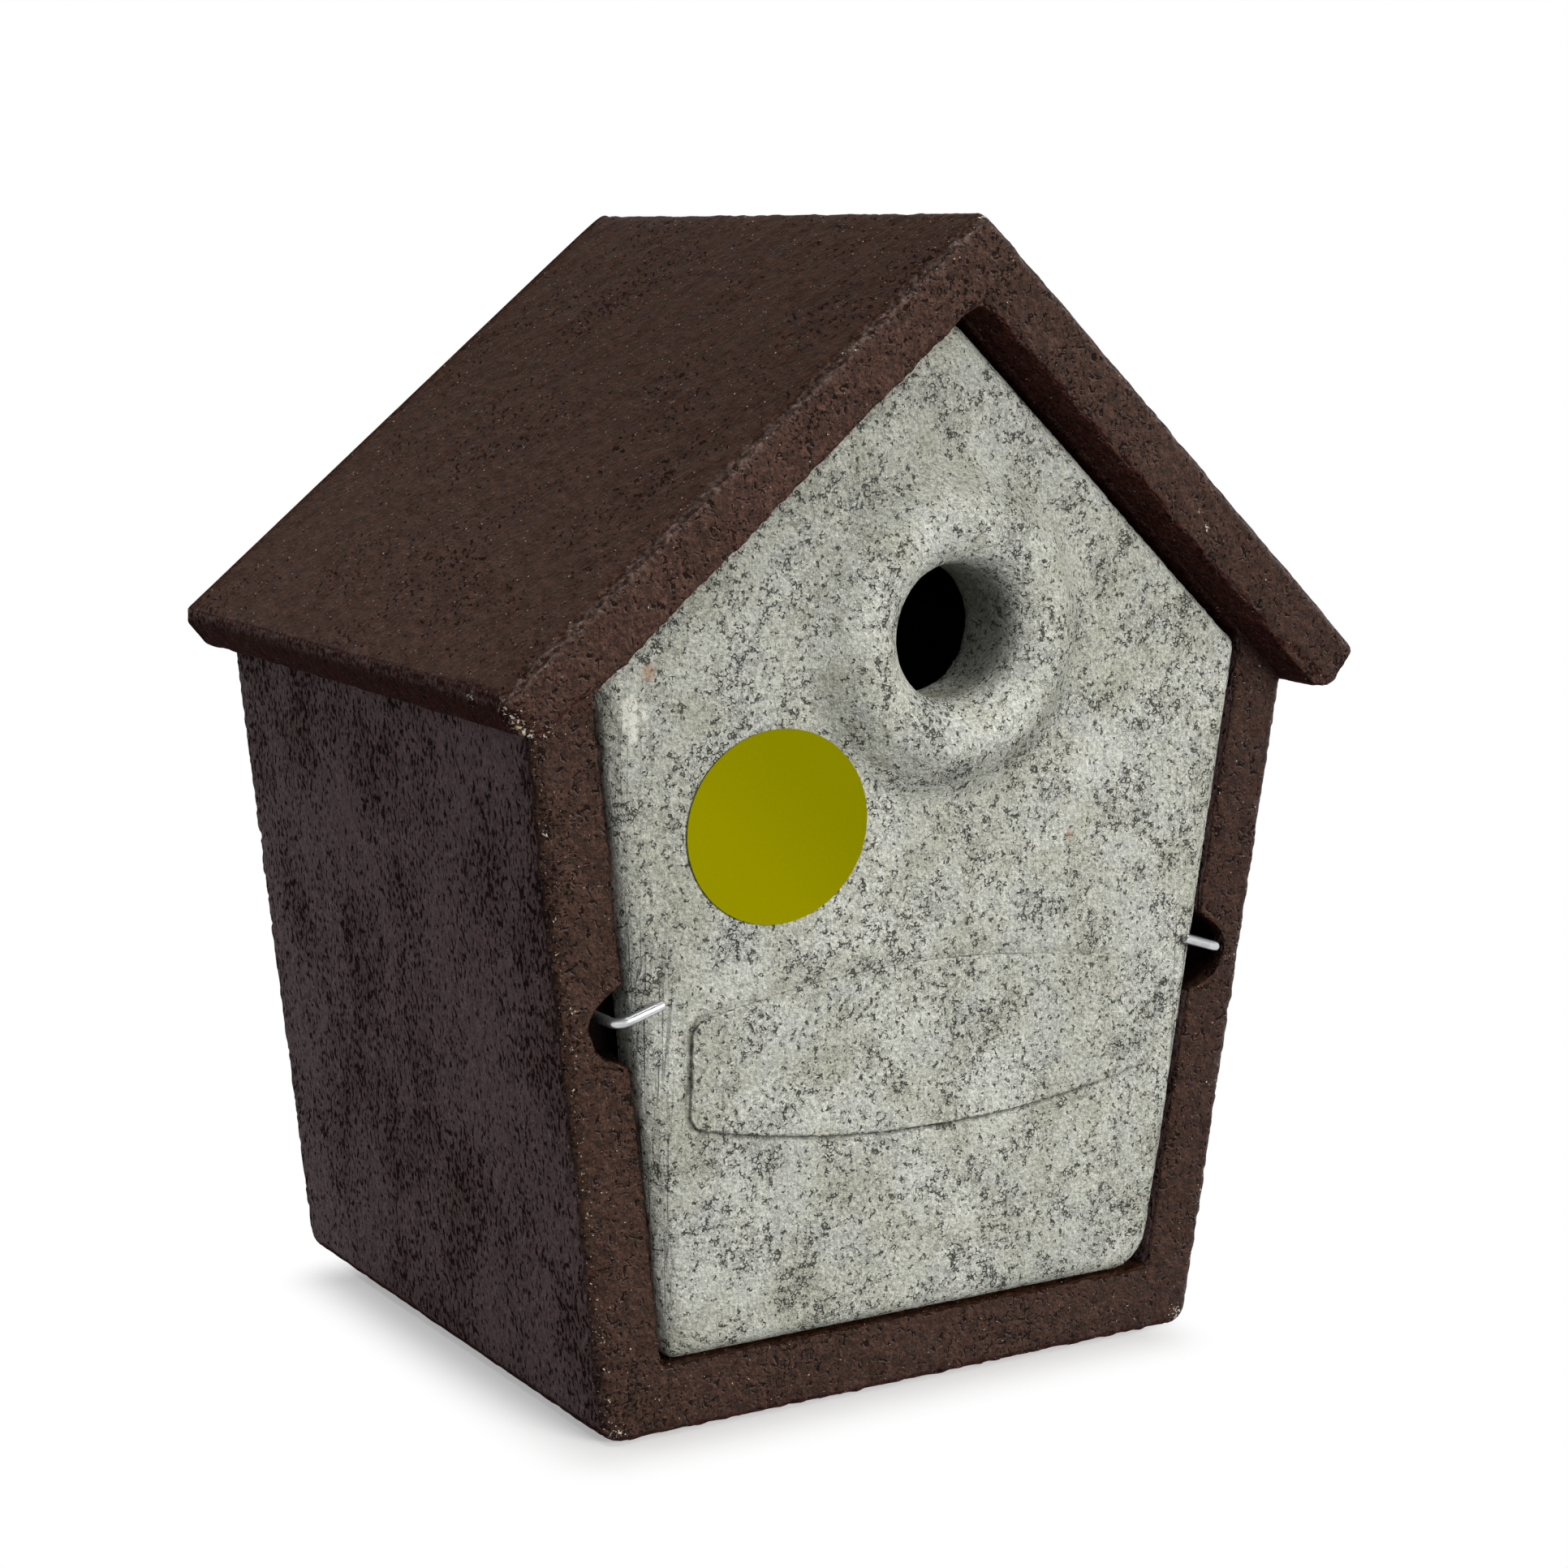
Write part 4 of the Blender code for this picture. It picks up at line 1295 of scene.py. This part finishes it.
def makeHook(name, side, material, body, node):
    # A circle carried along arm, quarter bend and leg, square to the path, narrowed at its ends.
    h = hook
    startX = side * (wallX(h["height"]) - h["setIn"])
    start = np.array((startX, face - front["seatGap"] - h["wire"] / 2, h["height"]))
    across = np.array((-side * cos(h["rise"]), 0, sin(h["rise"])))
    behind = np.array((0, 1.0, 0))
    angles = arcSteps(14)
    armPart = np.linspace(h["arm"], h["bend"], 10)[:-1, None] * across
    bendAcross = h["bend"] * (1 - np.sin(angles))[:, None] * across
    bendBack = h["bend"] * (1 - np.cos(angles))[:, None] * behind
    legPart = np.linspace(h["bend"], h["legEnd"], 24)[1:, None] * behind
    route = np.concatenate([armPart, bendAcross + bendBack, legPart])
    ahead = np.gradient(route, axis=0)
    ahead /= np.linalg.norm(ahead, axis=1, keepdims=True)
    upright = np.cross(across, behind)
    sideways = np.cross(ahead, upright)
    sideways = np.concatenate([sideways[:1], sideways, sideways[-1:]])
    cut = h["tipChamfer"]
    tips = route[:1] - cut * across, route[-1:] + cut * behind
    route = np.concatenate([route[:1], tips[0], route[1:], tips[1]])
    radius = np.full(len(route), h["wire"] / 2)
    radius[[0, -1]] -= cut
    around = np.linspace(0, 2 * pi, h["sides"], endpoint=False)[:, None]
    spread = np.cos(around) * sideways[:, None] + np.sin(around) * upright
    grid = route[:, None] + radius[:, None, None] * spread + start
    addTube(name, grid, material, body, "galvanised_wire", node)


# Studio: pale floor, white surround, soft lamps
studio = dict(
    floorSize=6.0,
    floorSeen=0.65,
    floorBounce=0.10,
    floorLift=0.34,
    shadeCentre=(-0.0095, -0.0085, 0.0),
    shadeHalf=(0.0795, 0.0685, 1.0),
    fadeStart=-0.001,
    fadeEnd=0.023,
    ambient=0.14,
    glossLow=1.0,
    glossHigh=0.35,
    lampAim=(0, 0, 0.14),
)

# Lamps, as (place, size, power, colour)
lamps = dict(
    keyLamp=((0.36, -1.75, 0.72), 1.0, 31.0, (1.0, 0.985, 0.96)),
    fillLamp=((-1.7, -0.9, 0.6), 1.4, 3.8, (0.93, 0.95, 1.0)),
    backLamp=((0.9, 1.7, 0.7), 1.4, 5.0, (0.95, 0.97, 1.0)),
    topLamp=((-0.1, 0.15, 1.8), 1.2, 24.0, (1.0, 1.0, 1.0)),
)


def addLamp(name, place, size, power, colour):
    data = bpy.data.lights.new(name, "AREA")
    data.size = size
    data.energy = power
    data.color = colour
    lamp = addObject(name, data)
    lamp.location = place
    aim = Vector(studio["lampAim"]) - Vector(place)
    lamp.rotation_euler = aim.to_track_quat("-Z", "Y").to_euler()


def makeWorld():
    # White for the camera, white near the horizon and grey overhead for gloss, dim for the rest.
    s = studio
    world = bpy.data.worlds.new("paleStudio")
    bpy.context.scene.world = world
    world.use_nodes = True
    tree = world.node_tree
    _, _, height = splitUp(make("TexCoord", output="Generated", tree=tree))
    seen = make("LightPath", output="Is Camera Ray", tree=tree)
    mirrored = larger(seen.other("Is Glossy Ray"), seen.other("Is Transmission Ray"))
    gloss = between(height, 0.20, 0.60, s["glossLow"], s["glossHigh"])
    strength = make("Mix", {0: mirrored, 2: s["ambient"], 3: gloss})
    strength = make("Mix", {0: seen, 2: strength, 3: 1.0})
    fill(tree.nodes["Background"], {"Color": (1, 1, 1, 1), "Strength": strength})


def makeFloor():
    # Lit floor with its shadow close to the box, fading into plain white further off.
    s = studio
    half = s["floorSize"] / 2
    mesh = bpy.data.meshes.new("floor")
    corners = [(-half, -half, 0), (half, -half, 0), (half, half, 0), (-half, half, 0)]
    mesh.from_pydata(corners, [], [(0, 1, 2, 3)])
    floor = addObject("floor", mesh)
    material, tree, shader = newMaterial("paleFloor", 0.9, 0.0)
    ray = make("LightPath", output="Is Camera Ray", tree=tree)
    seen = larger(larger(ray, ray.other("Is Glossy Ray")), ray.other("Is Transmission Ray"))
    low, high = (s["floorBounce"],) * 3 + (1,), (s["floorSeen"],) * 3 + (1,)
    fill(shader, {"Base Color": blend(seen, low, high)})
    apart = vectorCalc("SUBTRACT", coordinates(tree), s["shadeCentre"])
    apart = vectorCalc("SUBTRACT", vectorCalc("ABSOLUTE", apart), s["shadeHalf"])
    far = vectorCalc("LENGTH", vectorCalc("MAXIMUM", apart))
    share = seen * between(far, s["fadeStart"], s["fadeEnd"])
    white = {"Color": (1, 1, 1, 1)}
    lift = make("Emission", white | {"Strength": seen * s["floorLift"]})
    near = make("AddShader", {0: Field(shader.outputs[0]), 1: lift})
    glow = make("Emission", white, tree=tree)
    mixed = make("MixShader", {0: share, 1: near, 2: glow})
    fill(tree.nodes["Material Output"], {"Surface": mixed})
    mesh.materials.append(material)


def makeStudio():
    makeWorld()
    makeFloor()
    for name, settings in lamps.items():
        addLamp(name, *settings)
    print("studio ready")


# Camera, fitted to the photograph's view
view = dict(
    place=(-0.420084, -0.652602, 0.271571),
    yaw=radians(33.1564),
    pitch=radians(-9.5755),
    roll=radians(1.4612),
    lens=68.2345,
    sensor=36.0,
)


def makeCamera():
    # Looks along yaw and pitch, with its own level and upright turned by the roll.
    v = view
    flat = cos(v["pitch"])
    ahead = Vector((sin(v["yaw"]) * flat, cos(v["yaw"]) * flat, sin(v["pitch"])))
    level = Vector((cos(v["yaw"]), -sin(v["yaw"]), 0))
    upright = level.cross(ahead)
    right = level * cos(v["roll"]) + upright * sin(v["roll"])
    up = upright * cos(v["roll"]) - level * sin(v["roll"])
    data = bpy.data.cameras.new("camera")
    data.lens = v["lens"]
    data.sensor_width = data.sensor_height = v["sensor"]
    data.sensor_fit = "HORIZONTAL"
    data.clip_start = 0.01
    camera = addObject("camera", data)
    turn = Matrix((right, up, -ahead)).transposed().to_4x4()
    camera.matrix_world = Matrix.Translation(v["place"]) @ turn
    bpy.context.scene.camera = camera


makeCamera()
makeStudio()
bpy.context.scene.view_settings.view_transform = "Standard"

brownPaints = [brownPaint(kind + "Brown", paint[kind + "Specular"]) for kind in ("dull", "satin")]
makeRoof(brownPaints)
makeWalls(brownPaints)
greyCast = greyWoodcrete()
makeFront(greyCast)
makePlate(greyCast)
makeLabel(paperMaterial())
wire = wireMaterial()
makeHook("leftWire", -1, wire, "left_turn_hook", "left_hook")
makeHook("rightWire", 1, wire, "right_turn_hook", "right_hook")
